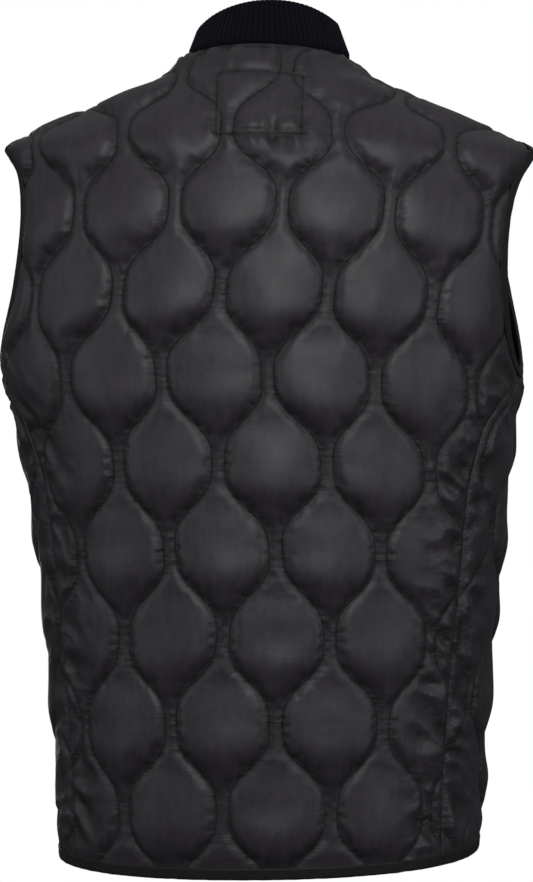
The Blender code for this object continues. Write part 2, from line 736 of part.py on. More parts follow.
def even_turns(count):
    """Turns at even distances round the neck seam."""
    turns = np.linspace(-turn_at(ZIP_GAP), turn_at(ZIP_GAP), 241)
    feet = [neck_point(turn) for turn in turns]
    run = np.concatenate([[0.0], np.cumsum(np.linalg.norm(np.diff(feet, axis=0), axis=1))])
    return np.interp(np.linspace(0.0, run[-1], count), run, turns)


def collar(material, collection):
    rings = []
    for number, turn in enumerate(even_turns(2 * RIBS + 1)):
        foot, rise, wall, normal = collar_frame(turn)
        height = collar_height(turn)
        rib = RIB_HEIGHT * (number % 2)
        full = COLLAR_WALL + rib
        rings.append(np.array([
            foot + normal * full,
            foot + rise * RIB_START + wall * full,
            foot + rise * (height - 0.0025) + wall * full,
            foot + rise * height + wall * (0.65 * COLLAR_WALL + 0.5 * rib),
            foot + rise * height,
            foot,
        ]))
    return loft("collar", rings, False, material, collection)


# ---------------------------------------------------------------- zip

def zip_rows(sign):
    """Rows from the hem to the collar's top, on the wearer's left or right: the front edge beside
    the zip, the line a margin outside it, and the directions out of the wall at each."""
    edges = front_edges()
    last, mirror = len(edges) - 1, np.array([sign, 1.0])
    edge, leg = edges[last][::-1] * mirror, margin_row(edges, last)[::-1] * mirror
    rows = [wall_points(edge, FRONT), wall_points(leg, FRONT),
            wall_normals(edge, FRONT), wall_normals(leg, FRONT)]
    frames = [collar_frame(sign * turn_at(x)) for x in (ZIP_GAP, ZIP_GAP + BOUND_MARGIN)]
    joined = []
    for number, row in enumerate(rows):
        foot, rise, wall, _ = frames[number % 2]
        if number < 2:
            heights = np.linspace(0.0, collar_height(1.0), COLLAR_ROWS)
            above = foot + rise * heights[:, None]
            joint = (row[-1] + foot) / 2
        else:
            above = np.tile(wall, (COLLAR_ROWS, 1))
            joint = (row[-1] + wall) / np.linalg.norm(row[-1] + wall)
        joined.append(np.concatenate([row[:-1], [joint], above[1:]]))
    return joined


def middle_rows():
    """The zip's middle line: its places and the directions out of it."""
    left, right = zip_rows(1.0), zip_rows(-1.0)
    place, out = (left[0] + right[0]) / 2, left[2] + right[2]
    return place, out / np.linalg.norm(out, axis=1)[:, None]


def tape(name, sign, material, collection):
    rim, leg, rim_out, leg_out = zip_rows(sign)
    share = (ZIP_GAP - TAPE_INNER) / BOUND_MARGIN
    inner = rim + (rim - leg) * share
    rings = []
    for i in range(1, len(rim)):
        ring = [inner[i] - rim_out[i] * TAPE_CLEAR, leg[i] - leg_out[i] * TAPE_CLEAR]
        ring += [leg[i] - leg_out[i] * (TAPE_CLEAR + TAPE_WALL),
                 inner[i] - rim_out[i] * (TAPE_CLEAR + TAPE_WALL)]
        rings.append(np.array(ring))
    return loft(name, rings, False, material, collection, (1, 2), [-1] * len(rings))


def bar(name, places, outs, half_width, back, face, material, collection):
    """A plain bar along the zip's middle line."""
    rings = []
    for place, out in zip(places, outs):
        ring = [place + np.array([x, 0, 0]) + out * height
                for x, height in ((-half_width, back), (half_width, back),
                                  (half_width, face), (-half_width, face))]
        rings.append(np.array(ring))
    return loft(name, rings, False, material, collection)


def middle_stretch(first, last):
    """The middle line between two lengths from the hem."""
    places, outs = middle_rows()
    run = np.concatenate([[0.0], np.cumsum(np.linalg.norm(np.diff(places, axis=0), axis=1))])
    keep = np.unique(np.concatenate([[first], run[(run > first) & (run < last)], [last]]))
    picked = [np.stack([np.interp(keep, run, rows[:, i]) for i in range(3)], axis=1)
              for rows in (places, outs)]
    return picked[0], picked[1] / np.linalg.norm(picked[1], axis=1)[:, None]


def zip_length():
    places, _ = middle_rows()
    return float(np.linalg.norm(np.diff(places, axis=0), axis=1).sum())


def zip_chain(material, collection):
    places, outs = middle_stretch(BOX_LEVELS[1] + SEAM_GAP,
                                  zip_length() - SLIDER_BELOW_TOP + 0.0025)
    return bar("zip_chain", places, outs, CHAIN_HALF_WIDTH, CHAIN_BACK, CHAIN_FACE,
               material, collection)


def zip_box(material, collection):
    """The box at the foot of the zip, which takes the pin."""
    places, outs = middle_stretch(*BOX_LEVELS)
    return bar("zip_box", places, outs, BOX_HALF_WIDTH, CHAIN_BACK - BOX_WALL,
               CHAIN_FACE + BOX_WALL, material, collection)


def slider_frame():
    """The slider's middle, and its across, up and out directions."""
    middle = zip_length() - SLIDER_BELOW_TOP
    places, outs = middle_stretch(middle - 0.001, middle + 0.001)
    up = places[-1] - places[0]
    up /= np.linalg.norm(up)
    across = np.array([1.0, 0.0, 0.0])
    out = np.cross(across, up)
    out *= math.copysign(1.0, out @ outs[0])
    return places.mean(axis=0), across, up, out


def block(frame, corners):
    """A box in a frame: lowest and highest across, up and out."""
    origin, across, up, out = frame
    low, high = corners
    work = bmesh.new()
    bmesh.ops.create_cube(work, size=1.0)
    for vert in work.verts:
        share = [0.5 + c for c in vert.co]
        size = [low[i] + (high[i] - low[i]) * share[i] for i in range(3)]
        vert.co = tuple(origin + across * size[0] + up * size[1] + out * size[2])
    return work


def joined_solid(name, works, material, collection):
    """Overlapping closed meshes made one body by Boolean unions."""
    made = []
    for number, work in enumerate(works):
        face_out(work)
        mesh = bpy.data.meshes.new(f"{name}_{number}")
        work.to_mesh(mesh)
        work.free()
        made.append(bpy.data.objects.new(mesh.name, mesh))
        bpy.context.scene.collection.objects.link(made[-1])
    for other in made[1:]:
        union = made[0].modifiers.new("union", "BOOLEAN")
        union.operation = "UNION"
        union.solver = "EXACT"
        union.object = other
    graph = bpy.context.evaluated_depsgraph_get()
    mesh = bpy.data.meshes.new_from_object(made[0].evaluated_get(graph))
    for old in made:
        bpy.data.objects.remove(old, do_unlink=True)
    mesh.name = name
    mesh.materials.clear()
    mesh.materials.append(material)
    whole = bpy.data.objects.new(name, mesh)
    collection.objects.link(whole)
    return whole


def rod(frame, up, out, radius, half_length, sides):
    """A cylinder across the zip, at a height along it and out of it."""
    origin, across, rise, away = frame
    work = bmesh.new()
    bmesh.ops.create_cone(work, cap_ends=True, segments=sides, radius1=radius, radius2=radius,
                          depth=2 * half_length)
    centre = origin + rise * up + away * out
    for vert in work.verts:
        x, y, z = vert.co
        vert.co = tuple(centre + across * z + rise * x + away * y)
    return work


def zip_slider(material, collection):
    """Two plates joined above the chain's end, with two posts and a bar for the pull tab."""
    frame = slider_frame()
    half, width = SLIDER_LENGTH / 2, SLIDER_HALF_WIDTH
    front, back = CHAIN_FACE + 0.0003, CHAIN_BACK - 0.0003
    works = [
        block(frame, ((-width, -half, front), (width, half, front + PLATE))),
        block(frame, ((-width, -half, back - PLATE), (width, half, back))),
        block(frame, ((-0.0014, 0.0031, back - PLATE / 2), (0.0014, half - 0.0003, front + PLATE / 2))),
    ]
    for x in (-POST_PLACE, POST_PLACE):
        works.append(block(frame, ((x - 0.0005, -0.0012, front + PLATE / 2),
                                   (x + 0.0005, 0.0012, BAR_OUT + 0.0010))))
    works.append(rod(frame, 0.0, BAR_OUT, BAR_RADIUS, POST_PLACE, 12))
    return joined_solid("zip_slider", works, material, collection)


def plate(frame, outline, half_thickness):
    """A flat prism: the outline's across and up, and its thickness both ways."""
    origin, across, up, out = frame
    work = bmesh.new()
    layers = []
    for height in (-half_thickness, half_thickness):
        layers.append([work.verts.new(origin + across * x + up * y + out * height)
                       for x, y in outline])
    work.faces.new(layers[0][::-1])
    work.faces.new(layers[1])
    for i in range(len(outline)):
        k = (i + 1) % len(outline)
        work.faces.new((layers[0][i], layers[0][k], layers[1][k], layers[1][i]))
    return work


def pull_tab(material, collection):
    """A flat tab that hangs from the bar by a round eye."""
    origin, across, up, out = slider_frame()
    down = -up * math.cos(TAB_LEAN) - out * math.sin(TAB_LEAN)
    face = out * math.cos(TAB_LEAN) - up * math.sin(TAB_LEAN)
    frame = (origin + out * BAR_OUT, across, -down, face)
    half, neck, corner = TAB_HALF_WIDTH, TAB_EYE_HALF_WIDTH - 0.0003, 0.0012
    right = [(half - corner, -TAB_LENGTH), (half, corner - TAB_LENGTH), (half, -0.0065),
             (neck, -0.0050), (neck, -TAB_HOLE - 0.0002)]
    outline = right + [(-x, y) for x, y in right[::-1]]
    works = [rod(frame, 0.0, 0.0, TAB_RING, TAB_EYE_HALF_WIDTH, 16),
             plate(frame, outline, TAB_WALL / 2)]
    whole = joined_solid("pull_tab", works, material, collection)
    hole = rod(frame, 0.0, 0.0, TAB_HOLE, 2 * TAB_EYE_HALF_WIDTH, 16)
    face_out(hole)
    cutter = bpy.data.objects.new("pull_tab_hole", bpy.data.meshes.new("pull_tab_hole"))
    hole.to_mesh(cutter.data)
    hole.free()
    cutters = bpy.data.collections.new("cutters")
    bpy.context.scene.collection.children.link(cutters)
    cutters.objects.link(cutter)
    cutter.hide_render = True
    cutter.display_type = "WIRE"
    cut = whole.modifiers.new("eye", "BOOLEAN")
    cut.operation = "DIFFERENCE"
    cut.solver = "EXACT"
    cut.object = cutter


def main():
    for old in list(bpy.data.objects):
        bpy.data.objects.remove(old, do_unlink=True)
    collection = bpy.data.collections.new("quilted_vest")
    bpy.context.scene.collection.children.link(collection)
    materials = {}
    for name, colour in COLOURS.items():
        made = bpy.data.materials.new(name)
        made.use_nodes = True
        shader = made.node_tree.nodes["Principled BSDF"]
        shader.inputs["Base Color"].default_value = colour
        shader.inputs["Roughness"].default_value = ROUGHNESS[name]
        shader.inputs["Metallic"].default_value = 1.0 if name == "zip_metal" else 0.0
        materials[name] = made

    backs, fronts = back_edges(), front_edges()
    satin = materials["satin"]
    bound, calm = {0: 1, 2: 1, 6: -1}, {1: "side", 3: "shoulder", 5: "shoulder", 7: "side"}
    panel("back_panel", BACK, backs, bound, calm, BACK_QUILT, patch_runs(), False, satin, collection)
    bound, calm = {0: 1, 2: 1, 5: 1}, {1: "side", 3: "shoulder"}
    panel("front_left", FRONT, fronts, bound, calm, FRONT_QUILT, [], False, satin, collection)
    panel("front_right", FRONT, fronts, bound, calm, FRONT_QUILT, [], True, satin, collection)
    armhole_binding("armhole_binding_left", False, backs, fronts, materials["binding"], collection)
    armhole_binding("armhole_binding_right", True, backs, fronts, materials["binding"], collection)
    hem_binding(backs, fronts, materials["binding"], collection)
    collar(materials["rib_knit"], collection)
    tape("zip_tape_left", 1.0, materials["zip_tape"], collection)
    tape("zip_tape_right", -1.0, materials["zip_tape"], collection)
    for make in (zip_chain, zip_box, zip_slider, pull_tab):
        make(materials["zip_metal"], collection)


main()
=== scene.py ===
import math
import bmesh
import bpy
import numpy as np
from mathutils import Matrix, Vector, noise
from mathutils.geometry import delaunay_2d_cdt
from mathutils.kdtree import KDTree


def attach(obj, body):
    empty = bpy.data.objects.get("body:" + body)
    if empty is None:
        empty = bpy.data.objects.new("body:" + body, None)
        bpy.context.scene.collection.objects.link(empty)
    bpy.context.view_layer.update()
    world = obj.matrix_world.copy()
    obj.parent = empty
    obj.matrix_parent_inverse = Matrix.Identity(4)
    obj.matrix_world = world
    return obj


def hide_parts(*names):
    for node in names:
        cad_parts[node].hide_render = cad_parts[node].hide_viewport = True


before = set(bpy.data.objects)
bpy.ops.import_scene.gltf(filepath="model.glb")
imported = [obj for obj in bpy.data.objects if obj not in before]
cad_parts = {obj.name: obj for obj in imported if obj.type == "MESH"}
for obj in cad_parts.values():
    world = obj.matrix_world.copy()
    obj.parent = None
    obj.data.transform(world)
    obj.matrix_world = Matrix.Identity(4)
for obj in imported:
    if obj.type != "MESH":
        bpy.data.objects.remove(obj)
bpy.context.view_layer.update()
back, front = 1, -1

# The vest's form: level sections from the hem up, the last three inside the neck.
bodyForm = {
    "level": (-0.7000, -0.6400, -0.5600, -0.4600, -0.3700, -0.3100, -0.2660, -0.2000,
              -0.1320, -0.1020, -0.0845, -0.0725, -0.0395, -0.0185, 0.0000, 0.0120, 0.0340),
    "width": (0.1800, 0.1800, 0.1840, 0.1940, 0.2040, 0.2145, 0.2240, 0.2250,
              0.2270, 0.2310, 0.2350, 0.2160, 0.1390, 0.0900, 0.0680, 0.0400, 0.0000),
    "back": (0.1420, 0.1430, 0.1440, 0.1440, 0.1430, 0.1420, 0.1410, 0.1390,
             0.1325, 0.1260, 0.1210, 0.1170, 0.1000, 0.0845, 0.0700, 0.0610, 0.0450),
    "front": (0.1400, 0.1410, 0.1430, 0.1430, 0.1420, 0.1410, 0.1390, 0.1300,
              0.1090, 0.0920, 0.0825, 0.0755, 0.0575, 0.0465, 0.0380, 0.0330, 0.0250),
    "power": (2.20, 2.20, 2.20, 2.20, 2.25, 2.30, 2.30, 2.25,
              2.10, 1.95, 1.85, 1.80, 1.75, 1.85, 2.00, 2.00, 2.00),
    "tilt": (-0.030, -0.024, -0.015, -0.005, 0.008, 0.014, 0.016, 0.017,
             0.017, 0.017, 0.017, 0.017, 0.017, 0.017, 0.017, 0.017, 0.017),
    # how far the back hangs to one side, growing between two depths
    "shift": (0.0, 0.0, 0.0, 0.0, 0.0018, 0.0055, 0.0080, 0.0015,
              -0.0030, -0.0040, -0.0020, 0.0, 0.0, 0.0, 0.0, 0.0, 0.0),
    "shiftFrom": -0.090, "shiftOver": 0.100, "ridgeReach": 0.012,
}
sideSeamForm = {
    "level": (-0.700, -0.560, -0.370, -0.320, -0.290, -0.266),
    "behind": (0.080, 0.079, 0.078, 0.070, 0.048, 0.010),
}
cut = {
    "hemLevel": -0.686, "underarmLevel": -0.266, "widestLevel": -0.0845, "tipHalfWidth": 0.226,
    "neckHalfWidth": 0.068, "neckRise": 0.006, "neckDrop": 0.078,
    "armholeBack": 0.060, "armholeFront": 0.064, "armholePower": 0.9, "armholeRun": 0.22,
    "cloth": 0.0022, "seamGap": -0.0004, "zipGap": 0.0065, "margin": 0.010, "cornerReach": 0.030,
}


# the form: a flat place (across, up) to its place on the body

def ease(t):
    t = np.clip(t, 0.0, 1.0)
    return t * t * (3 - 2 * t)


def smoothRows(table, name, level):
    # a smooth curve through one row of a table, with no swing between its points
    x, y = np.array(table["level"]), np.array(table[name])
    rise = np.diff(y) / np.diff(x)
    slope = np.zeros(len(y))
    same = rise[1:] * rise[:-1] > 0
    slope[1:-1][same] = 2.0 / (1.0 / rise[1:][same] + 1.0 / rise[:-1][same])
    slope[0], slope[-1] = rise[0], rise[-1]
    level = np.clip(level, x[0], x[-1])
    row = np.clip(np.searchsorted(x, level, side="right") - 1, 0, len(x) - 2)
    span = x[row + 1] - x[row]
    t = (level - x[row]) / span
    low = (1 + 2 * t) * (1 - t) ** 2 * y[row] + t * (1 - t) ** 2 * span * slope[row]
    return low + t * t * (3 - 2 * t) * y[row + 1] + t * t * (t - 1) * span * slope[row + 1]


def formAt(name, level):
    return smoothRows(bodyForm, name, level)


ridgeLevels = np.linspace(cut["widestLevel"], bodyForm["level"][-1], 400)
ridgeWidths = formAt("width", ridgeLevels)


def ridgeLevel(x):
    return np.interp(x, ridgeWidths[::-1], ridgeLevels[::-1])


def depthOf(side, level):
    return formAt("back" if side == back else "front", level)


def wallDepth(x, level, side):
    power = formAt("power", level)
    share = np.clip(x / np.maximum(formAt("width", level), 1e-9), 0.0, 1.0)
    return depthOf(side, level) * (1.0 - share ** power) ** (1.0 / power)


def ringLines(level, side, reach=0.86, samples=160):
    # level rings that run from the middle of one side round to the other
    angle = np.linspace(0.0, reach * math.pi, samples)[None, :]
    level = np.asarray(level, float)[:, None]
    power = 2.0 / formAt("power", level)
    cosine, sine = np.cos(angle), np.sin(angle)
    depth = np.where(cosine >= 0, depthOf(side, level), depthOf(-side, level))
    x = formAt("width", level) * sine ** power
    y = side * depth * np.sign(cosine) * np.abs(cosine) ** power
    return np.stack([x, y, level + 0 * x], axis=-1)


def risingLines(share, side, below=24, above=40):
    # lines that run up a wall from the underarm to the ridge of the shoulders
    share = np.asarray(share, float)[:, None]
    low = np.linspace(cut["underarmLevel"], cut["widestLevel"], below)[None, :] + 0 * share
    xHigh = share * formAt("width", cut["widestLevel"])
    top = ridgeLevel(xHigh)
    closing = np.linspace(1.0, 0.0, above + 1)[None, 1:]
    high = top - (top - cut["widestLevel"]) * closing ** 2
    level = np.concatenate([low, high], axis=1)
    x = np.concatenate([share * formAt("width", low), xHigh + 0 * high], axis=1)
    return np.stack([x, side * wallDepth(x, level, side), level], axis=-1)


def lengthsAlong(lines):
    steps = np.linalg.norm(np.diff(lines, axis=1), axis=2)
    return np.concatenate([np.zeros((len(lines), 1)), np.cumsum(steps, axis=1)], axis=1)


def atLength(lines, length):
    # the point on each line at its own length from the line's start
    run = lengthsAlong(lines)
    row = np.clip((run <= length[:, None]).sum(axis=1) - 1, 0, lines.shape[1] - 2)
    pick = np.arange(len(lines))
    t = (length - run[pick, row]) / np.maximum(run[pick, row + 1] - run[pick, row], 1e-9)
    return lines[pick, row] + t[:, None] * (lines[pick, row + 1] - lines[pick, row])


underarmRing = {side: ringLines([cut["underarmLevel"]], side, reach=0.5, samples=400)[0]
                for side in (back, front)}
underarmRun = {side: lengthsAlong(ring[None])[0] for side, ring in underarmRing.items()}


def widthShare(across, side):
    share = np.interp(across, underarmRun[side], underarmRing[side][:, 0])
    return np.clip(share / formAt("width", cut["underarmLevel"]), 0.0, 1.0 - 1e-7)


partSize = 8000  # how many places are worked out at once, to spare memory


def inParts(make, flat, side):
    starts = range(0, len(flat), partSize)
    return np.concatenate([make(flat[i:i + partSize], side) for i in starts])


def wallPoints(flat, side):
    # places on the body for places on a flat piece: across and up, from the underarm's level
    flat = np.asarray(flat, float)
    if len(flat) > partSize:
        return inParts(wallPoints, flat, side)
    across, up = np.abs(flat[:, 0]), flat[:, 1]
    out = np.empty((len(flat), 3))
    low = up <= cut["underarmLevel"]
    if low.any():
        out[low] = atLength(ringLines(up[low], side), across[low])
    if (~low).any():
        lines = risingLines(widthShare(across[~low], side), side)
        out[~low] = atLength(lines, up[~low] - cut["underarmLevel"])
    out[:, 0] *= np.sign(flat[:, 0]) + (flat[:, 0] == 0)
    out[:, 2] += formAt("tilt", out[:, 2]) * out[:, 0]
    behind = ease((out[:, 1] - bodyForm["shiftFrom"]) / bodyForm["shiftOver"])
    out[:, 0] += formAt("shift", out[:, 2]) * behind
    return out


def wallNormals(flat, side, step=0.006):
    flat = np.asarray(flat, float)
    if len(flat) > partSize:
        return inParts(wallNormals, flat, side)
    across, up = np.abs(flat[:, 0]), flat[:, 1]
    quarter, high = underarmRun[side][-1], up > cut["underarmLevel"]
    out = across + step
    out[high] = np.minimum(out[high], quarter)
    lines = risingLines(widthShare(across, side), side)
    top = cut["underarmLevel"] + np.where(across > quarter, 0.0, lengthsAlong(lines)[:, -1])
    rim = np.minimum(up + step, top)

    def place(x, y):
        return wallPoints(np.stack([x, y], axis=1), side)

    along = place(out, up) - place(out - 2 * step, up)
    rise = place(across, rim) - place(across, rim - 2 * step)
    normal = -side * np.cross(along, rise)
    here = place(across, up)
    # near the ridge of the shoulders both walls face straight up
    normal[high, 1] *= np.clip(np.abs(here[high, 1]) / bodyForm["ridgeReach"], 0.0, 1.0)
    normal[:, 0] *= np.where(flat[:, 0] < 0, -1.0, 1.0)
    return normal / np.linalg.norm(normal, axis=1)[:, None]


def flatPlace(x, level, side):
    # where a point on the body, at x and a level, lies on the flat piece
    share = min(float(x / formAt("width", min(level, cut["widestLevel"]))), 1.0 - 1e-7)
    ring, run = underarmRing[side], underarmRun[side]
    across = np.interp(share * formAt("width", cut["underarmLevel"]), ring[:, 0], run)
    line = risingLines([share], side)
    up = np.interp(level, line[0, :, 2], lengthsAlong(line)[0])
    return float(across), cut["underarmLevel"] + float(up)


def ringLength(level, behind, side):
    line = ringLines([level], side)
    reach = -behind if side == front else behind
    return float(np.interp(-reach, -side * line[0, :, 1], lengthsAlong(line)[0]))


# the edges of the flat pieces, as they are cut

def spaced(points, step, margins=(False, False)):
    points = np.asarray(points, float)
    run = np.concatenate([[0.0], np.cumsum(np.linalg.norm(np.diff(points, axis=0), axis=1))])
    first = cut["margin"] if margins[0] else 0.0
    last = run[-1] - (cut["margin"] if margins[1] else 0.0)
    places = np.linspace(first, last, max(2, round((last - first) / step) + 1))
    places = np.unique(np.concatenate([[0.0], places, [run[-1]]]))
    return np.stack([np.interp(places, run, points[:, i]) for i in range(points.shape[1])], axis=1)


def neckPlace(turn):
    # the neck's edge by its turn: 0 at the middle of the back, 1 and -1 at the zip
    angle = turn * math.pi
    side = back if math.cos(angle) >= -1e-9 else front
    level = (cut["neckRise"] if side == back else -cut["neckDrop"]) * math.cos(angle) ** 2
    across, up = flatPlace(cut["neckHalfWidth"] * abs(math.sin(angle)), level, side)
    return math.copysign(across, math.sin(angle)), up, side


def neckPoint(turn):
    across, up, side = neckPlace(turn)
    return wallPoints([[across, up]], side)[0]


def turnAt(x):
    return 1.0 - math.asin(x / cut["neckHalfWidth"]) / math.pi


def shoulderLine(side, step):
    x = np.linspace(cut["neckHalfWidth"], cut["tipHalfWidth"], 60)
    line = spaced(np.stack([x, ridgeLevel(x)], axis=1), step, (False, True))
    return np.array([flatPlace(x, float(z), side) for x, z in line]) - (0.0, cut["seamGap"] / 2)


def armholeEdge(side, count):
    reach = cut["armholeBack"] if side == back else cut["armholeFront"]
    tip, low = float(ridgeLevel(cut["tipHalfWidth"])), cut["underarmLevel"]
    middle, half = (tip + low) / 2, (tip - low) / 2
    end = math.pi
    if side == back:
        end -= math.asin((sideSeamForm["behind"][-1] / reach) ** (1 / cut["armholePower"]))
    places = []
    for angle in np.linspace(0.0, end, count):
        level = middle + half * math.cos(angle)
        away = reach * math.sin(angle) ** cut["armholePower"]
        power = formAt("power", level)
        x = formAt("width", level) * (1 - (away / depthOf(side, level)) ** power) ** (1 / power)
        places.append(flatPlace(x, level, side))
    return np.array(places)


def sideSeam(side, step):
    level = np.linspace(cut["underarmLevel"], cut["hemLevel"], 90)
    behind = smoothRows(sideSeamForm, "behind", level)
    line = spaced(np.stack([behind, level], axis=1), step, (True, True))
    return np.array([(ringLength(z, y, side) - cut["seamGap"] / 2, z) for y, z in line])


def halfEdges(side, step):
    # side seam, armhole and shoulder of the wearer's left half, from the hem up
    seam, shoulder = sideSeam(side, step), shoulderLine(side, step)
    hole = armholeEdge(side, round(cut["armholeRun"] / step))
    hole[-1], hole[0] = seam[0], shoulder[-1]
    return [seam[::-1], hole[::-1], shoulder[::-1]]


def backEdges(step):
    left = halfEdges(back, step)
    low = left[0][0][0]
    hem = spaced([(-low, cut["hemLevel"]), (low, cut["hemLevel"])], step, (True, True))
    neck = spaced([neckPlace(turn)[:2] for turn in np.linspace(0.5, -0.5, 60)], step)
    neck[0], neck[-1] = left[-1][-1], left[-1][-1] * (-1.0, 1.0)
    return [hem] + left + [neck] + [edge[::-1] * (-1.0, 1.0) for edge in left[::-1]]


def frontEdges(step):
    left = halfEdges(front, step)
    gap = cut["zipGap"]
    hem = spaced([(gap, cut["hemLevel"]), left[0][0]], step, (True, True))
    neck = np.array([neckPlace(turn)[:2] for turn in np.linspace(0.5, 1.0, 60)])
    neck = neck[neck[:, 0] > gap]
    top = (gap, neck[-1, 1])
    neck = spaced(np.concatenate([left[-1][-1:], neck[1:], [top]]), step, (False, True))
    return [hem] + left + [neck, spaced([top, (gap, cut["hemLevel"])], step, (True, True))]


def marginRow(edges, number, away=None):
    # the row that lies a margin inside an edge, with its ends on the next edges
    away = cut["margin"] if away is None else away
    edge, before, after = edges[number], edges[number - 1], edges[(number + 1) % len(edges)]
    run = np.gradient(edge, axis=0)
    run /= np.linalg.norm(run, axis=1)[:, None]
    offset = np.stack([-run[:, 1], run[:, 0]], axis=1) * away
    length = np.concatenate([[0.0], np.cumsum(np.linalg.norm(np.diff(edge, axis=0), axis=1))])

    ends = ((length, before[-2] - edge[0]), (length[-1] - length, after[1] - edge[-1]))
    for near, target in ends:
        pull = ease(1 - near / cut["cornerReach"])[:, None]
        offset = offset * (1 - pull) + target * pull
    return edge + offset


def insideOutline(points, outline):
    # counts how often a line to the right of each point crosses the outline
    x, y = points[:, 0][:, None], points[:, 1][:, None]
    x0, y0 = outline[:, 0][None], outline[:, 1][None]
    x1, y1 = np.roll(outline[:, 0], -1)[None], np.roll(outline[:, 1], -1)[None]
    spans = (y0 > y) != (y1 > y)
    crossing = x < x0 + (x1 - x0) * (y - y0) / np.where(y1 == y0, 1e-12, y1 - y0)
    return (spans & crossing).sum(axis=1) % 2 == 1


def distanceTo(points, line, step=0.0008):
    dense = spaced(line, step)
    tree = KDTree(len(dense))
    for i, p in enumerate(dense):
        tree.insert((p[0], p[1], 0.0), i)
    tree.balance()
    return np.array([tree.find((p[0], p[1], 0.0))[2] for p in points])


print("form ready, hem at", cut["hemLevel"], "m, widest at", cut["widestLevel"], "m")


# materials

def linear(code):
    parts = [int(code[i:i + 2], 16) / 255 for i in (1, 3, 5)]
    parts = [c / 12.92 if c <= 0.04045 else ((c + 0.055) / 1.055) ** 2.4 for c in parts]
    return tuple(parts) + (1.0,)


def addNode(tree, kind, settings=None, inputs=None, links=None):
    node = tree.nodes.new(kind)
    for name, value in (settings or {}).items():
        setattr(node, name, value)
    for name, value in (inputs or {}).items():
        node.inputs[name].default_value = value
    for name, source in (links or {}).items():
        tree.links.new(source, node.inputs[name])
    return node


def newMaterial(name, colour, roughness, extra=None):
    material = bpy.data.materials.new(name)
    material.use_nodes = True
    tree = material.node_tree
    shader = tree.nodes["Principled BSDF"]
    shader.inputs["Base Color"].default_value = linear(colour)
    shader.inputs["Roughness"].default_value = roughness
    for key, value in (extra or {}).items():
        shader.inputs[key].default_value = value
    return material, tree, shader


# the darkest colour here and the seam, tick and hollow strengths are painted shade, laid into the
# cloth's colour where the valleys, puckers and hollows would be in shadow
satin = {
    "colour": "#211e23", "lightColour": "#3b363d", "paintedShadeColour": "#0b0a0c",
    "roughness": 0.49, "roughPatches": 0.12, "seamRoughness": 0.5,
    "puckerHeight": 0.0013, "puckerReach": 0.0040, "crinkleHeight": 0.0012, "threadHeight": 0.00004,
    "seamWidth": 0.0011, "seamShadeStrength": 0.85, "hollowShadeStrength": 0.7, "puckerShadeStrength": 7.0, "deepestShade": 0.95,
}
# sizes across and up the cloth in metres, detail and roughness of each noise;
# the threads are really 0.12 mm apart and are drawn coarser so that they show
satinNoise = {
    "ladder": (0.024, 0.0044, 1.5, 0.5),
    "patchy": (0.030, 0.022, 0.0, 0.5),
    "crinkle": (0.014, 0.0112, 3.0, 0.55),
    "thread": (0.0010, 0.0070, 2.0, 0.5),
    "streak": (0.006, 0.020, 3.0, 0.6),
}
# each row makes a value from those before it: its name, what is done, and with what
satinSums = (
    # puckers: short ridges that cross each stitch line and die away from it
    ("near", "MULTIPLY", "seam", -1 / satin["puckerReach"]),
    ("near", "EXPONENT", "near"),
    ("amount", "MULTIPLY_ADD", "patchy", 2.0, -0.5),
    ("pucker", "SUBTRACT", "ladder", 0.5),
    ("pucker", "MULTIPLY", "pucker", "near"),
    ("pucker", "MULTIPLY", "pucker", "amount"),
    # slow crinkles over the whole cloth, stronger where it is crushed at the sides
    ("crushed", "MULTIPLY_ADD", "crush", 1.4, 0.25),
    ("crinkle", "SUBTRACT", "crinkle", 0.5),
    ("crinkle", "MULTIPLY", "crinkle", "crushed"),
    ("crinkle", "MULTIPLY", "crinkle", satin["crinkleHeight"]),
    ("fine", "SUBTRACT", "thread", 0.5),
    ("height", "MULTIPLY_ADD", "fine", satin["threadHeight"], "crinkle"),
    ("height", "MULTIPLY_ADD", "pucker", 2 * satin["puckerHeight"], "height"),
    # the cloth's own mottling
    ("mottle", "MULTIPLY", "thread", 0.25),
    ("mottle", "MULTIPLY_ADD", "streak", 0.75, "mottle"),
    ("mottle", "MULTIPLY_ADD", "mottle", 2.0, -0.5),
    # painted shade: dark in the sewn lines' valleys, in ticks across the puckers and in the hollows
    # of creases and gathers
    ("sunk", "MULTIPLY", "seam", -1 / satin["seamWidth"]),
    ("sunk", "EXPONENT", "sunk"),
    ("puckerShadeTicks", "SUBTRACT", "ladder", 0.53),
    ("puckerShadeTicks", "MAXIMUM", "puckerShadeTicks", 0.0),
    ("puckerShadeTicks", "MULTIPLY", "puckerShadeTicks", "near"),
    ("puckerShadeTicks", "MULTIPLY", "puckerShadeTicks", "amount"),
    ("paintedShade", "MULTIPLY", "sunk", satin["seamShadeStrength"]),
    ("paintedShade", "MULTIPLY_ADD", "puckerShadeTicks", satin["puckerShadeStrength"], "paintedShade"),
    ("paintedShade", "MULTIPLY_ADD", "hollowShade", satin["hollowShadeStrength"], "paintedShade"),
    ("paintedShade", "MINIMUM", "paintedShade", satin["deepestShade"]),
    # sewn lines are duller than the pockets
    ("rough", "MULTIPLY_ADD", "patchy", satin["roughPatches"],
     satin["roughness"] - satin["roughPatches"] / 2),
    ("rough", "MULTIPLY_ADD", "sunk", satin["seamRoughness"], "rough"),
)


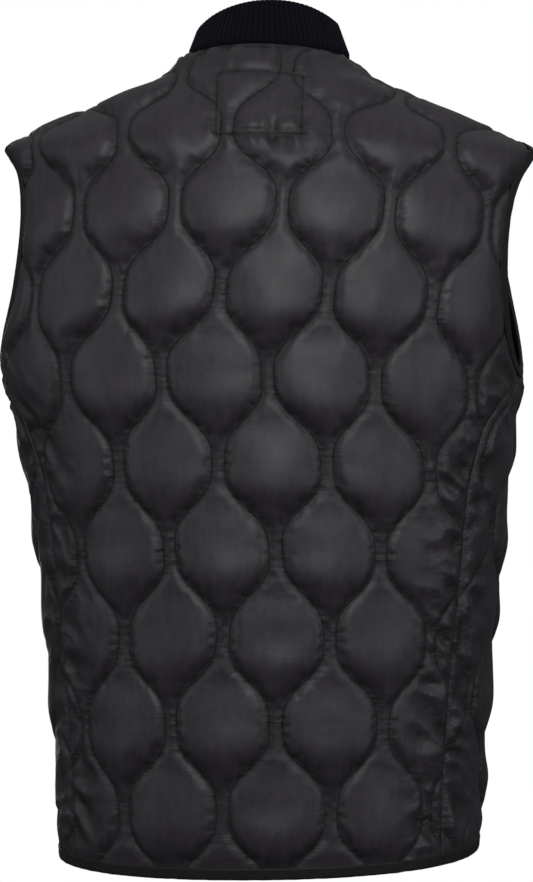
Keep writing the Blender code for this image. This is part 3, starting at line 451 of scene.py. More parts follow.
def satinMaterial(name):
    # satin-woven nylon: a smooth face of long floats, so soft broad highlights
    # and small sharp puckers
    material, tree, shader = newMaterial(name, satin["colour"], satin["roughness"],
                                         {"Specular IOR Level": 0.55})
    uv = addNode(tree, "ShaderNodeUVMap", {"uv_map": "flat"})
    made = {}
    for key, layer in (("seam", "seamDistance"), ("crush", "crush"), ("hollowShade", "hollowShade")):
        made[key] = addNode(tree, "ShaderNodeAttribute", {"attribute_name": layer}).outputs["Fac"]
    for key, (across, up, detail, rough) in satinNoise.items():
        place = addNode(tree, "ShaderNodeMapping", inputs={"Scale": (1 / across, 1 / up, 1.0)},
                        links={"Vector": uv.outputs["UV"]})
        made[key] = addNode(tree, "ShaderNodeTexNoise",
                            inputs={"Scale": 1.0, "Detail": detail, "Roughness": rough},
                            links={"Vector": place.outputs[0]}).outputs["Fac"]
    for key, operation, *values in satinSums:
        numbers = {i: v for i, v in enumerate(values) if not isinstance(v, str)}
        links = {i: made[v] for i, v in enumerate(values) if isinstance(v, str)}
        made[key] = addNode(tree, "ShaderNodeMath", {"operation": operation}, numbers,
                            links).outputs[0]

    bump = addNode(tree, "ShaderNodeBump", inputs={"Strength": 1.0, "Distance": 1.0},
                   links={"Height": made["height"]})
    shade = addNode(tree, "ShaderNodeMix", {"data_type": "RGBA"},
                    {"A": linear(satin["colour"]), "B": linear(satin["lightColour"])},
                    {"Factor": made["mottle"]})
    # painted shade: the cloth's colour pulled towards the dark shade colour in the seams, pucker
    # ticks and hollows
    paintedShade = addNode(tree, "ShaderNodeMix", {"data_type": "RGBA"},
                   {"B": linear(satin["paintedShadeColour"])},
                   {"Factor": made["paintedShade"], "A": shade.outputs["Result"]})
    tree.links.new(bump.outputs[0], shader.inputs["Normal"])
    tree.links.new(paintedShade.outputs["Result"], shader.inputs["Base Color"])
    tree.links.new(made["rough"], shader.inputs["Roughness"])
    return material


def clothMaterial(name, colour, second, roughness, pitch, height, extra=None):
    # plain or ribbed cloth: threads run both ways at the given pitch on the piece's own UV, so it
    # looks dull and finely grained; the second colour is painted shade on the weave's low places
    # and in the hollows
    material, tree, shader = newMaterial(name, colour, roughness, extra)
    uv = addNode(tree, "ShaderNodeUVMap", {"uv_map": "flat"})
    place = addNode(tree, "ShaderNodeMapping",
                    inputs={"Scale": (1 / pitch[0], 1 / pitch[1], 1.0)},
                    links={"Vector": uv.outputs["UV"]})
    ways = [addNode(tree, "ShaderNodeTexWave", {"bands_direction": way},
                    {"Scale": 0.5, "Distortion": 0.6, "Detail": 1.0},
                    {"Vector": place.outputs[0]}) for way in "XY"]
    weave = addNode(tree, "ShaderNodeMath", {"operation": "MULTIPLY"},
                    links={i: way.outputs["Fac"] for i, way in enumerate(ways)})
    bump = addNode(tree, "ShaderNodeBump", inputs={"Strength": 1.0, "Distance": height},
                   links={"Height": weave.outputs[0]})
    hollowShade = addNode(tree, "ShaderNodeAttribute", {"attribute_name": "hollowShade"})
    lit = addNode(tree, "ShaderNodeMath", {"operation": "SUBTRACT", "use_clamp": True},
                  links={0: weave.outputs[0], 1: hollowShade.outputs["Fac"]})
    # painted shade: the second colour wherever the weave is low or the hollow mask is high
    mix = addNode(tree, "ShaderNodeMix", {"data_type": "RGBA"},
                  {"A": linear(second), "B": linear(colour)}, {"Factor": lit.outputs[0]})
    tree.links.new(bump.outputs[0], shader.inputs["Normal"])
    tree.links.new(mix.outputs["Result"], shader.inputs["Base Color"])
    return material


def metalMaterial(name, colour, roughness):
    # zinc alloy, tumbled and black coated: fine scratches and a soft gloss
    material, tree, shader = newMaterial(name, colour, roughness, {"Metallic": 1.0})
    place = addNode(tree, "ShaderNodeTexCoord")
    # grains of about 1.1 mm
    grain = addNode(tree, "ShaderNodeTexNoise", inputs={"Scale": 900.0, "Detail": 4.0},
                    links={"Vector": place.outputs["Object"]})
    bump = addNode(tree, "ShaderNodeBump", inputs={"Strength": 1.0, "Distance": 0.00003},
                   links={"Height": grain.outputs["Fac"]})
    tree.links.new(bump.outputs[0], shader.inputs["Normal"])
    return material


satinCloth = satinMaterial("satinNylon")
# colour, painted shade colour, roughness, threads across and along in metres, their height
bindingCloth = clothMaterial("satinBinding", "#18161a", "#0f0e10", 0.60, (0.0012, 0.0012), 0.00006)
ribKnit = clothMaterial("ribKnit", "#20222f", "#0a0b14", 0.95, (0.0011, 0.0016), 0.00025,
                        {"Sheen Weight": 0.02, "Sheen Roughness": 0.5, "Specular IOR Level": 0.12})
tapeCloth = clothMaterial("zipTapeWeave", "#1a1a1b", "#0c0c0d", 0.85, (0.0012, 0.0009), 0.0002)
threadPolyester = clothMaterial("sewingThread", "#0f0e10", "#090809", 0.85, (0.0005, 0.0005),
                                0.00002)
zipMetal = metalMaterial("blackenedZinc", "#3a3a3d", 0.38)
print("materials ready")


# meshes

def placedPiece(name, mesh):
    piece = bpy.data.objects.new(name, mesh)
    bpy.context.scene.collection.objects.link(piece)
    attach(piece, "vest")
    return piece


def outwardFaces(mesh):
    work = bmesh.new()
    work.from_mesh(mesh)
    work.normal_update()
    bmesh.ops.recalc_face_normals(work, faces=work.faces)
    if work.calc_volume(signed=True) < 0:
        bmesh.ops.reverse_faces(work, faces=work.faces)
    work.to_mesh(mesh)
    work.free()


def finishedPiece(name, points, faces, material, uv=None, attributes=None):
    mesh = bpy.data.meshes.new(name)
    mesh.from_pydata([tuple(p) for p in points], [], [tuple(f) for f in faces])
    if uv is not None:
        layer = mesh.uv_layers.new(name="flat")
        loops = np.empty(len(mesh.loops), int)
        mesh.loops.foreach_get("vertex_index", loops)
        layer.data.foreach_set("uv", np.asarray(uv, np.float32)[loops].reshape(-1))
    for key, values in (attributes or {}).items():
        layer = mesh.attributes.new(key, "FLOAT", "POINT")
        layer.data.foreach_set("value", np.asarray(values, np.float32))
    outwardFaces(mesh)
    mesh.shade_smooth()
    mesh.materials.append(material)
    return placedPiece(name, mesh)


def ringLoft(rings, closed):
    count, faces = len(rings[0]), []
    for i in range(len(rings) if closed else len(rings) - 1):
        here, after = i * count, (i + 1) % len(rings) * count
        for j in range(count):
            k = (j + 1) % count
            faces.append((here + j, here + k, after + k, after + j))
    if not closed:
        last = (len(rings) - 1) * count
        faces.append(tuple(range(count)))
        faces.append(tuple(last + j for j in reversed(range(count))))
    return np.concatenate(rings), faces


def runLengths(points):
    return np.concatenate([[0.0], np.cumsum(np.linalg.norm(np.diff(points, axis=0), axis=1))])


def triangulated(outline, runs, loose):
    # triangles inside an outline that keep every run of stitches as edges
    points = [tuple(p) for p in outline]
    count = len(points)
    edges = [(i, (i + 1) % count) for i in range(count)]
    for run in runs:
        first = len(points)
        points += [tuple(p) for p in run]
        edges += [(first + i, first + i + 1) for i in range(len(run) - 1)]
    held = len(points)
    points += [tuple(p) for p in loose]
    out, _, faces, origin, _, _ = delaunay_2d_cdt(points, edges, [], 0, 1e-7, True)
    out, faces = np.array([tuple(p) for p in out]), np.array([tuple(f) for f in faces])
    faces = faces[insideOutline(out[faces].mean(axis=1), outline)]
    place = {old: new for new, olds in enumerate(origin) for old in olds}
    sewn = np.zeros(len(out), bool)
    sewn[[place[i] for i in range(held)]] = True
    return out, faces, [place[i] for i in range(count)], sewn


def faceSides(faces):
    sides = np.concatenate([faces[:, [0, 1]], faces[:, [1, 2]], faces[:, [2, 0]]])
    return np.sort(sides, axis=1)


def halved(flat, faces, rim, lift, sewn):
    # one step of Loop subdivision for the lift, with the sewn lines kept sharp
    ends = faceSides(faces)
    across = np.concatenate([faces[:, 2], faces[:, 0], faces[:, 1]])
    pairs, which = np.unique(ends, axis=0, return_inverse=True)
    which = which.reshape(-1)
    sums, uses = np.zeros((len(pairs), 3)), np.zeros(len(pairs))
    np.add.at(sums, which, lift[across])
    np.add.at(uses, which, 1)
    a, b = pairs.T
    between = (lift[a] + lift[b]) / 2
    free = (uses == 2) & ~(sewn[a] & sewn[b])
    between[free] = between[free] * 0.75 + sums[free] / 8
    around, degree = np.zeros_like(lift), np.zeros(len(lift))
    for here, there in ((a, b), (b, a)):
        np.add.at(around, here, lift[there])
        np.add.at(degree, here, 1)
    smooth = lift * 0.625 + around / degree[:, None] * 0.375
    smooth[sewn] = lift[sewn]
    middle = which.reshape(3, -1).T + len(flat)
    p, q, r = faces.T
    pq, qr, rp = middle.T
    finer = np.concatenate([np.stack(f, axis=1) for f in
                            ((p, pq, rp), (pq, q, qr), (rp, qr, r), (pq, qr, rp))])
    points = np.concatenate([flat, (flat[a] + flat[b]) / 2])
    lookup = {tuple(pair): i + len(flat) for i, pair in enumerate(pairs.tolist())}
    outer = []
    for i, here in enumerate(rim):
        after = rim[(i + 1) % len(rim)]
        outer += [here, lookup[(min(here, after), max(here, after))]]
    return points, finer, outer, np.concatenate([smooth, between])


# quilting

quilting = {
    "pitch": 0.088, "drop": 0.143, "neckGap": 0.0105,
    "backPlace": (-0.026, -0.2735), "frontPlace": (0.052, -0.231),
    "droop": 0.30, "topFrom": -0.130, "topClose": 0.09,
    "puff": 0.0092, "puffReach": 0.0110, "domeShare": 0.42, "domeRise": 0.108, "domePower": 0.62,
    "sag": 0.26, "uneven": 0.28, "unevenSize": (0.06, 0.08),
    "wobble": 0.00352, "wobbleSize": 0.085,
    "sunk": 0.0010, "valley": 0.0035, "edge": 0.0014, "insidePuff": 0.0016,
    "calmShare": 0.26, "sideReach": 0.095, "shoulderShare": 0.36, "shoulderReach": 0.078,
    "neckShare": 0.20, "neckReach": 0.044, "narrowShare": 0.35, "narrowWidth": 0.030,
    "edgeReach": 0.010, "boundClear": 0.0085, "boundReach": 0.014,
    "topstitch": 0.0042, "topstitchEnds": 0.006, "threadClear": 0.0001,
}
patch = {"halfWidth": 0.034, "centre": -0.004, "lean": -0.0035, "levels": (-0.074, -0.020),
         "valley": 0.005, "flatShare": 0.38, "flatReach": 0.030}
crush = {
    "reach": 0.060, "height": 0.0036, "slant": 0.55,
    "long": (0.042, 0.021), "short": (0.022, 0.014),
    "gather": 0.0034, "gatherSize": (0.0090, 0.045), "neckReach": 0.046, "patchReach": 0.020,
}
panelMesh = {
    "edgeStep": 0.0044, "lineStep": 0.0044, "grid": 0.0052, "rowShare": 0.866,
    "lineClear": 0.0020, "gridClear": 0.55,
}
padding = {  # cloth simulation that fills each quilted pocket between its sewn lines
    "pressure": 5.0, "frames": 20, "quality": 5, "mass": 0.15, "tension": 15.0, "compression": 10.0,
    "shear": 5.0, "bending": 0.05, "damping": 2.0, "slack": -0.024, "crushedSlack": -0.060,
    "start": 0.78, "least": 0.0009, "cap": 0.0150, "pinBelow": 0.02, "thinReach": 0.005,
    "calmSteps": 7, "calmStrength": 0.8, "calmFrom": 0.006, "calmOver": 0.010,
}


def rowPhase(across, up, place):
    # the rows hang lower at the sides, and close up towards the shoulders
    up = np.asarray(up)
    rise = up + quilting["droop"] * across ** 2
    rise = rise + quilting["topClose"] * np.maximum(up - quilting["topFrom"], 0.0)
    return 2 * math.pi * (rise - place[1]) / quilting["drop"]


def fading(least, away, reach):
    # a share that grows from its least value to the whole
    return least + (1 - least) * ease(away / reach)


def stitchLine(number, up, place):
    middle = place[0] + (number + 0.5) * quilting["pitch"] / 2
    phase = rowPhase(middle, up, place)
    wave = (np.cos(phase) - 0.1 * np.cos(3 * phase)) / 0.9
    swing = (quilting["pitch"] / 2 - quilting["neckGap"]) / 2
    return middle + (-swing if number % 2 == 0 else swing) * wave


def noiseAt(x, y, z=0.0):
    return np.array([noise.noise((a, b, z)) for a, b in zip(x, y)])


def wobbleAt(x, up, seed):
    size = quilting["wobbleSize"]
    return quilting["wobble"] * noiseAt(x / size, up / size, seed)


def quiltField(flat, place, seed):
    # the padding's height at each flat place, and its distance from the nearest stitch line
    x, up = flat[:, 0] - wobbleAt(flat[:, 0], flat[:, 1], seed), flat[:, 1]
    half = quilting["pitch"] / 2
    first = np.floor((x - place[0]) / half - 0.5).astype(int)
    height, gap, upper = np.zeros(len(x)), np.full(len(x), 1.0), np.zeros(len(x))
    phase = rowPhase(x, up, place)
    for number in range(first.min() - 1, first.max() + 2):
        left, right = stitchLine(number, up, place), stitchLine(number + 1, up, place)
        slope = (stitchLine(number, up + 1e-4, place) - stitchLine(number, up - 1e-4, place)) / 2e-4
        width = right - left
        t = (x - left) / width
        held = (t > 0) & (t < 1)
        near = np.minimum(x - left, right - x) / np.sqrt(1 + slope ** 2)
        above = np.sin(phase) * (1 if number % 2 == 0 else -1)
        dome = np.clip(4 * t * (1 - t), 0, 1) ** quilting["domePower"]
        dome *= quilting["domeRise"] * width
        pillow = quilting["puff"] * (1 - np.exp(-np.maximum(near, 0) / quilting["puffReach"]))
        puff = pillow + (dome - pillow) * quilting["domeShare"]
        puff *= 1 - quilting["sag"] * above
        puff *= fading(quilting["narrowShare"], width, quilting["narrowWidth"])
        height[held], gap[held], upper[held] = puff[held], near[held], above[held]
    wide, high = quilting["unevenSize"]
    uneven = 1 + quilting["uneven"] * noiseAt(x / wide, up / high, seed + 7.0)
    return height * uneven, gap, upper


def patchRuns():
    low = flatPlace(0.0, patch["levels"][0], back)[1]
    high = flatPlace(0.0, patch["levels"][1], back)[1]
    left, right = patch["centre"] - patch["halfWidth"], patch["centre"] + patch["halfWidth"]
    lean = patch["lean"]
    corners = [(left, high), (left + lean, low), (right + lean, low), (right, high), (left, high)]
    return [spaced(pair, panelMesh["lineStep"]) for pair in zip(corners[:-1], corners[1:])]


def patchDistance(flat, lines):
    # how far each place lies outside the stitched rectangle
    corners = np.concatenate(lines)
    low, high = corners.min(axis=0), corners.max(axis=0)
    return np.linalg.norm(np.maximum(np.maximum(low - flat, flat - high), 0.0), axis=1)


def quiltRuns(outline, guides, place, seed):
    # the stitch lines that lie on this piece, kept a little clear of the other lines
    low, high = outline.min(axis=0), outline.max(axis=0)
    rows = np.arange(low[1], high[1], panelMesh["lineStep"])
    half, runs = quilting["pitch"] / 2, []
    first, last = (low[0] - place[0]) / half, (high[0] - place[0]) / half
    for number in range(math.floor(first) - 2, math.ceil(last) + 2):
        x = stitchLine(number, rows, place)
        line = spaced(np.stack([x + wobbleAt(x, rows, seed), rows], axis=1), panelMesh["lineStep"])
        kept = insideOutline(line, outline)
        for guide in guides:
            kept &= distanceTo(line, guide) > panelMesh["lineClear"]
        pieces = np.split(np.arange(len(line)), np.where(np.diff(kept.astype(int)) != 0)[0] + 1)
        runs += [line[p] for p in pieces if kept[p[0]] and len(p) > 2]
    return runs


def looseGrid(outline, lines):
    # points in staggered rows, away from the edges and stitch lines
    low, high, grid = outline.min(axis=0), outline.max(axis=0), panelMesh["grid"]
    rows = np.arange(low[1], high[1], grid * panelMesh["rowShare"])
    loose = np.array([(across + (row % 2) * grid / 2, up) for row, up in enumerate(rows)
                      for across in np.arange(low[0], high[0], grid)])
    loose = loose[insideOutline(loose, outline)]
    keep = np.ones(len(loose), bool)
    for line in lines:
        reach = np.ptp(line, axis=0).max() / 2 + grid
        near = np.abs(loose - line.mean(axis=0)).max(axis=1) < reach
        keep[near] &= distanceTo(loose[near], line) > grid * panelMesh["gridClear"]
    return loose[keep]


def filled(name, start, faces, sewn, slack):
    # cloth under light pressure, held by its seams; the sewn lines stay where they are
    mesh = bpy.data.meshes.new(name)
    mesh.from_pydata([tuple(p) for p in start], [], [tuple(f) for f in faces.tolist()])
    sheet = bpy.data.objects.new(name, mesh)
    bpy.context.scene.collection.objects.link(sheet)
    sheet.vertex_groups.new(name="sewn").add(np.where(sewn)[0].tolist(), 1.0, "REPLACE")
    loose = sheet.vertex_groups.new(name="loose")
    for tenth in range(1, 11):
        loose.add(np.where(np.round(slack * 10) == tenth)[0].tolist(), tenth / 10, "REPLACE")
    cloth = sheet.modifiers.new("padding", "CLOTH")
    rules = cloth.settings
    for setting, key in (("quality", "quality"), ("mass", "mass"), ("air_damping", "damping"),
                         ("tension_stiffness", "tension"), ("shear_stiffness", "shear"),
                         ("compression_stiffness", "compression"),
                         ("bending_stiffness", "bending")):
        setattr(rules, setting, padding[key])
    rules.use_pressure, rules.uniform_pressure_force = True, padding["pressure"]
    rules.effector_weights.gravity = 0
    rules.vertex_group_mass, rules.pin_stiffness = "sewn", 1.0
    rules.vertex_group_shrink = "loose"
    rules.shrink_min, rules.shrink_max = padding["slack"], padding["crushedSlack"]
    cloth.collision_settings.use_collision = False
    cloth.collision_settings.use_self_collision = False
    cloth.point_cache.frame_start, cloth.point_cache.frame_end = 1, padding["frames"]
    for number in range(1, padding["frames"] + 1):
        bpy.context.scene.frame_set(number)
    done = sheet.evaluated_get(bpy.context.evaluated_depsgraph_get()).to_mesh()
    points = np.empty(3 * len(done.vertices))
    done.vertices.foreach_get("co", points)
    bpy.data.objects.remove(sheet, do_unlink=True)
    bpy.context.scene.frame_set(1)
    return points.reshape(-1, 3)


def calmed(lift, faces, pinned, share):
    # the padding fills out small ripples in the middle of a pocket, and leaves those by its seams
    pairs = np.unique(faceSides(faces), axis=0)
    degree = np.bincount(pairs.reshape(-1), minlength=len(lift))[:, None]
    share = np.where(pinned, 0.0, share)[:, None] * padding["calmStrength"]
    for _ in range(padding["calmSteps"]):
        around = np.zeros_like(lift)
        np.add.at(around, pairs[:, 0], lift[pairs[:, 1]])
        np.add.at(around, pairs[:, 1], lift[pairs[:, 0]])
        lift = lift * (1 - share) + around / degree * share
    return lift


def quiltedPanel(name, node, side, edges, bound, seams, shoulders, place, flip, extraRuns, seed):
    outline = np.concatenate([edge[:-1] for edge in edges])
    closed = np.concatenate([outline, outline[:1]])
    stitched = quiltRuns(outline, [closed] + extraRuns, place, seed)
    lines = extraRuns + stitched
    coarse, faces, rim, sewn = triangulated(outline, lines, looseGrid(outline, [closed] + lines))
    sign = np.array((-1.0 if flip else 1.0, 1.0))
    patchLines = extraRuns[:4] if side == back else []

    def fields(flat):
        height, gap, upper = quiltField(flat, place, seed)
        fromEdge = distanceTo(flat, closed)
        held = ease(fromEdge / quilting["edgeReach"])
        for number in bound:
            away = distanceTo(flat, edges[number]) - quilting["boundClear"]
            held *= ease(away / quilting["boundReach"])
        crushed = np.zeros(len(flat))
        for number in seams:
            away = distanceTo(flat, edges[number])
            crushed = np.maximum(crushed, 1 - ease(away / crush["reach"]))
            held *= fading(quilting["calmShare"], away, quilting["sideReach"])
        for number in shoulders:
            away = distanceTo(flat, edges[number])
            held *= fading(quilting["shoulderShare"], away, quilting["shoulderReach"])
        away = distanceTo(flat, edges[4])
        held *= fading(quilting["neckShare"], away, quilting["neckReach"])
        gathered = 1 - ease(away / crush["neckReach"])
        if patchLines:
            away = patchDistance(flat, patchLines)
            held *= fading(patch["flatShare"], away, patch["flatReach"])
            away = distanceTo(flat, patchLines[1])
            gathered = np.maximum(gathered, 1 - ease(away / crush["patchReach"]))
        for run in patchLines:
            held *= fading(0.5, distanceTo(flat, run), patch["valley"])
        for run in extraRuns:
            gap = np.minimum(gap, distanceTo(flat, run))
        deep = ease(gap / quilting["valley"])
        thin = ease(fromEdge / padding["thinReach"])
        thin = quilting["edge"] + (cut["cloth"] - quilting["edge"]) * thin
        base = np.minimum(thin, quilting["sunk"] + (cut["cloth"] - quilting["sunk"]) * deep)
        return base, height * held, gap, crushed, held, gathered, upper, 0.6 + 0.4 * held

    base, height, gap, crushed, held, _, upper, calm = fields(coarse)
    wall, normal = wallPoints(coarse * sign, side), wallNormals(coarse * sign, side)
    start = wall + normal * (base + padding["start"] * height)[:, None]
    pinned = sewn | (held < padding["pinBelow"])
    turned = faces if (side == back) == flip else faces[:, ::-1]
    lift = filled(name + "Sheet", start, turned, pinned, crushed) - wall
    share = ease((gap - padding["calmFrom"]) / padding["calmOver"]) * (1 - 0.9 * crushed)
    lift = calmed(lift, faces, pinned, share)
    rise = (lift * normal).sum(axis=1)
    # the filling sinks to the foot of each pocket
    sagging = base + (rise - base) * (1 - quilting["sag"] * upper * (1 - crushed)) * calm
    lift += normal * (np.clip(sagging, padding["least"], padding["cap"]) - rise)[:, None]
    flat, finer, outer, lift = halved(coarse, faces, rim, lift, pinned)
    _, _, fineGap, fineCrush, fineHeld, gathered, _, _ = fields(flat)
    # slanted creases where the sides are crushed, and upright gathers where the cloth is eased in
    slant = flat @ np.array([[1.0, -crush["slant"]], [crush["slant"], 1.0]]) / crush["long"]
    crease = 0.8 - 3.0 * np.abs(noiseAt(*slant.T, seed + 3.4))
    crease += 0.5 * noiseAt(*(flat / crush["short"]).T, seed + 5.4)
    # painted shade: this mask marks the valleys of the crushed creases and, below, of the gathers,
    # where the cloth's colour is darkened
    hollowShade = np.clip(0.2 - crease, 0.0, 1.0) * fineCrush
    crease *= crush["height"] * fineCrush * ease(fineGap / 0.004) * ease(fineHeld * 3)
    folds = 1 - 2.4 * np.abs(noiseAt(*(flat / crush["gatherSize"]).T, seed + 9.4))
    hollowShade = np.maximum(hollowShade, np.clip(0.75 - folds, 0.0, 1.0) * gathered) * ease(fineGap / 0.002)
    folds *= crush["gather"] * gathered * ease(fineGap / 0.003)
    crease += folds * ease(distanceTo(flat, closed) / 0.006)
    points = wallPoints(flat * sign, side) + lift + wallNormals(flat * sign, side) * crease[:, None]
    inside = wall - normal * (quilting["insidePuff"] * height / quilting["puff"])[:, None]
    # the outer face, the plain inner face, and the rim that joins them
    shift, count = len(points), len(rim)
    shell = [tuple(f) for f in finer.tolist()]
    shell += [(shift + c, shift + b, shift + a) for a, b, c in faces.tolist()]
    for i in range(count):
        a, middle, b = outer[2 * i], outer[2 * i + 1], outer[(2 * i + 2) % (2 * count)]
        below, after = shift + rim[i], shift + rim[(i + 1) % count]
        shell += [(middle, a, below), (middle, below, after), (b, middle, after)]
    piece = finishedPiece(name, np.concatenate([points, inside]), shell, satinCloth,
                          np.concatenate([flat * sign, coarse * sign]) + (0.0, seed * 0.37),
                          {"seamDistance": np.concatenate([fineGap, gap]),
                           "hollowShade": np.concatenate([hollowShade, np.zeros(len(coarse))]),
                           "crush": np.concatenate([fineCrush, np.zeros(len(coarse))])})
    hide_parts(node)
    after = np.roll(outline, -1, axis=0)
    area = 0.5 * abs(np.sum(outline[:, 0] * after[:, 1] - after[:, 0] * outline[:, 1]))
    size = np.ptp(outline, axis=0)
    print(name, "ready:", len(shell), "faces, cut", size.round(3), "m, area",
          round(float(area), 4), "m2")

    def lifted(line, clearance):
        height = fields(line)[0] + clearance
        return wallPoints(line * sign, side) + wallNormals(line * sign, side) * height[:, None]

    return stitched, lifted


def topstitchRun(edges, number, away):
    # a line of stitches beside an edge, kept inside its ends
    row = marginRow(edges, number, away)
    run = runLengths(row)
    ends = quilting["topstitchEnds"]
    places = np.linspace(ends, run[-1] - ends, max(2, round(run[-1] / panelMesh["lineStep"])))
    return np.stack([np.interp(places, run, row[:, i]) for i in range(2)], axis=1)


backs, fronts = backEdges(panelMesh["edgeStep"]), frontEdges(panelMesh["edgeStep"])
neckBack, neckFront = (topstitchRun(edges, 4, quilting["topstitch"]) for edges in (backs, fronts))
backRuns = patchRuns() + [neckBack]
threadRuns = []
for name, node, side, edges, bound, seams, shoulders, place, flip, runs, seed in (
        ("backPanel", "back_panel", back, backs, (0, 2, 6), (1, 7), (3, 5), quilting["backPlace"],
         False, backRuns, 1.0),
        ("frontLeft", "front_left", front, fronts, (0, 2, 5), (1,), (3,), quilting["frontPlace"],
         False, [neckFront], 2.0),
        ("frontRight", "front_right", front, fronts, (0, 2, 5), (1,), (3,), quilting["frontPlace"],
         True, [neckFront], 3.0)):
    stitched, lifted = quiltedPanel(name, node, side, edges, bound, seams, shoulders, place, flip,
                                    runs, seed)
    threadRuns += [lifted(run, quilting["threadClear"]) for run in stitched + runs]


# collar

collarForm = {
    "wall": 0.0030, "clear": 0.00035, "ribs": 96, "ribHeight": 0.0009, "ribStart": 0.004,
    "height": 0.0350, "highEnds": 0.0056, "highBack": 0.0008, "square": 0.0012,
    "leanTurn": (0.0, 0.5, 1.0), "lean": (20.0, 21.0, 4.0), "samples": 8, "skew": 0.0054,
}


def collarSeat(turn):
    # the collar's foot, the way it rises, and the way it faces
    step = 0.004
    across, up, side = neckPlace(turn)
    point = wallPoints([[across, up]], side)[0]
    normal = wallNormals([[across, up]], side)[0]
    along = neckPoint(turn + step) - neckPoint(turn - step)
    along /= np.linalg.norm(along)
    beyond = np.cross(along, normal)
    beyond *= math.copysign(1.0, beyond[2]) / np.linalg.norm(beyond)
    outward = np.array([along[1], -along[0], 0.0])
    outward *= math.copysign(1.0, outward[:2] @ (point[:2] + 1e-9)) / np.linalg.norm(outward)
    lean = math.radians(np.interp(abs(turn), collarForm["leanTurn"], collarForm["lean"]))
    rise = np.array([0.0, 0.0, math.cos(lean)]) - outward * math.sin(lean)
    wall = np.cross(rise, along)
    wall *= math.copysign(1.0, wall @ outward) / np.linalg.norm(wall)
    return point + beyond * collarForm["clear"], rise, wall, normal


def collarFrame(turn):
    straight, end = turnAt(cut["zipGap"] + cut["margin"]), turnAt(cut["zipGap"])
    if abs(turn) <= straight:
        return collarSeat(turn)
    share = (abs(turn) - straight) / (end - straight)
    first, last = (collarSeat(math.copysign(t, turn)) for t in (straight, end))
    return tuple(a + (b - a) * share for a, b in zip(first, last))


def collarHeight(turn):
    # highest at the middle of the back and at the zip, lowest over the shoulders
    high = collarForm["height"] + collarForm["highEnds"] * math.cos(2 * math.pi * turn)
    high += collarForm["highBack"] * math.cos(math.pi * turn)
    high -= collarForm["square"] * math.cos(4 * math.pi * turn)
    return high - collarForm["skew"] * math.sin(math.pi * turn)


def makeCollar():
    # a knitted rib folded double: rounded ribs run up it and over its top edge
    turns = np.linspace(-turnAt(cut["zipGap"]), turnAt(cut["zipGap"]), 241)
    run = runLengths(np.array([neckPoint(turn) for turn in turns]))
    count = collarForm["ribs"] * collarForm["samples"] + 1
    rings, uv, hollowShade, wall = [], [], [], collarForm["wall"]
    for number, turn in enumerate(np.interp(np.linspace(0.0, run[-1], count), run, turns)):
        foot, rise, out, normal = collarFrame(turn)
        height = collarHeight(turn)
        rounded = abs(math.sin(math.pi * number / collarForm["samples"])) ** 0.8
        rib = rounded * collarForm["ribHeight"]
        ring = [foot, foot + normal * wall * 0.5]
        for share in (0.0, 0.25, 0.5, 0.75):
            start = foot + normal * (wall + rib * share)
            end = foot + rise * collarForm["ribStart"] + out * (wall + rib)
            ring.append(start + (end - start) * share)
        for up in np.linspace(collarForm["ribStart"], height - wall * 0.7, 9):
            ring.append(foot + rise * up + out * (wall + rib))
        for angle in np.radians((30, 60, 90, 120, 150)):
            middle = foot + rise * (height - wall * 0.6) + out * wall * 0.5
            outward = wall * 0.5 * math.cos(angle) + rib * max(0.0, math.cos(angle / 2))
            ring.append(middle + rise * wall * 0.6 * math.sin(angle) + out * outward)
        for up in np.linspace(height - wall * 0.7, 0.004, 5):
            ring.append(foot + rise * up - out * rib * 0.4)
        rings.append(np.array(ring))
        along = run[-1] * number / (count - 1)
        uv.append(np.stack([np.full(len(ring), along), runLengths(np.array(ring))], axis=1))
        # painted shade between the ribs, darkest where a rib is lowest
        hollowShade.append(np.full(len(ring), 0.8 * (1 - rib / collarForm["ribHeight"])))
    points, faces = ringLoft(rings, False)
    piece = finishedPiece("ribCollar", points, faces, ribKnit, np.concatenate(uv),
                          {"hollowShade": np.concatenate(hollowShade)})
    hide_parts("collar")
    print("collar ready:", len(faces), "faces, cut", round(float(run[-1]), 3), "m round")


makeCollar()


# bindings

binding = {
    "width": 0.0090, "wall": 0.0007, "clear": 0.0003, "step": 0.0030,
    "pucker": 0.00035, "puckerPitch": 0.0085, "filling": 0.0008, "threadClear": 0.0001,
}


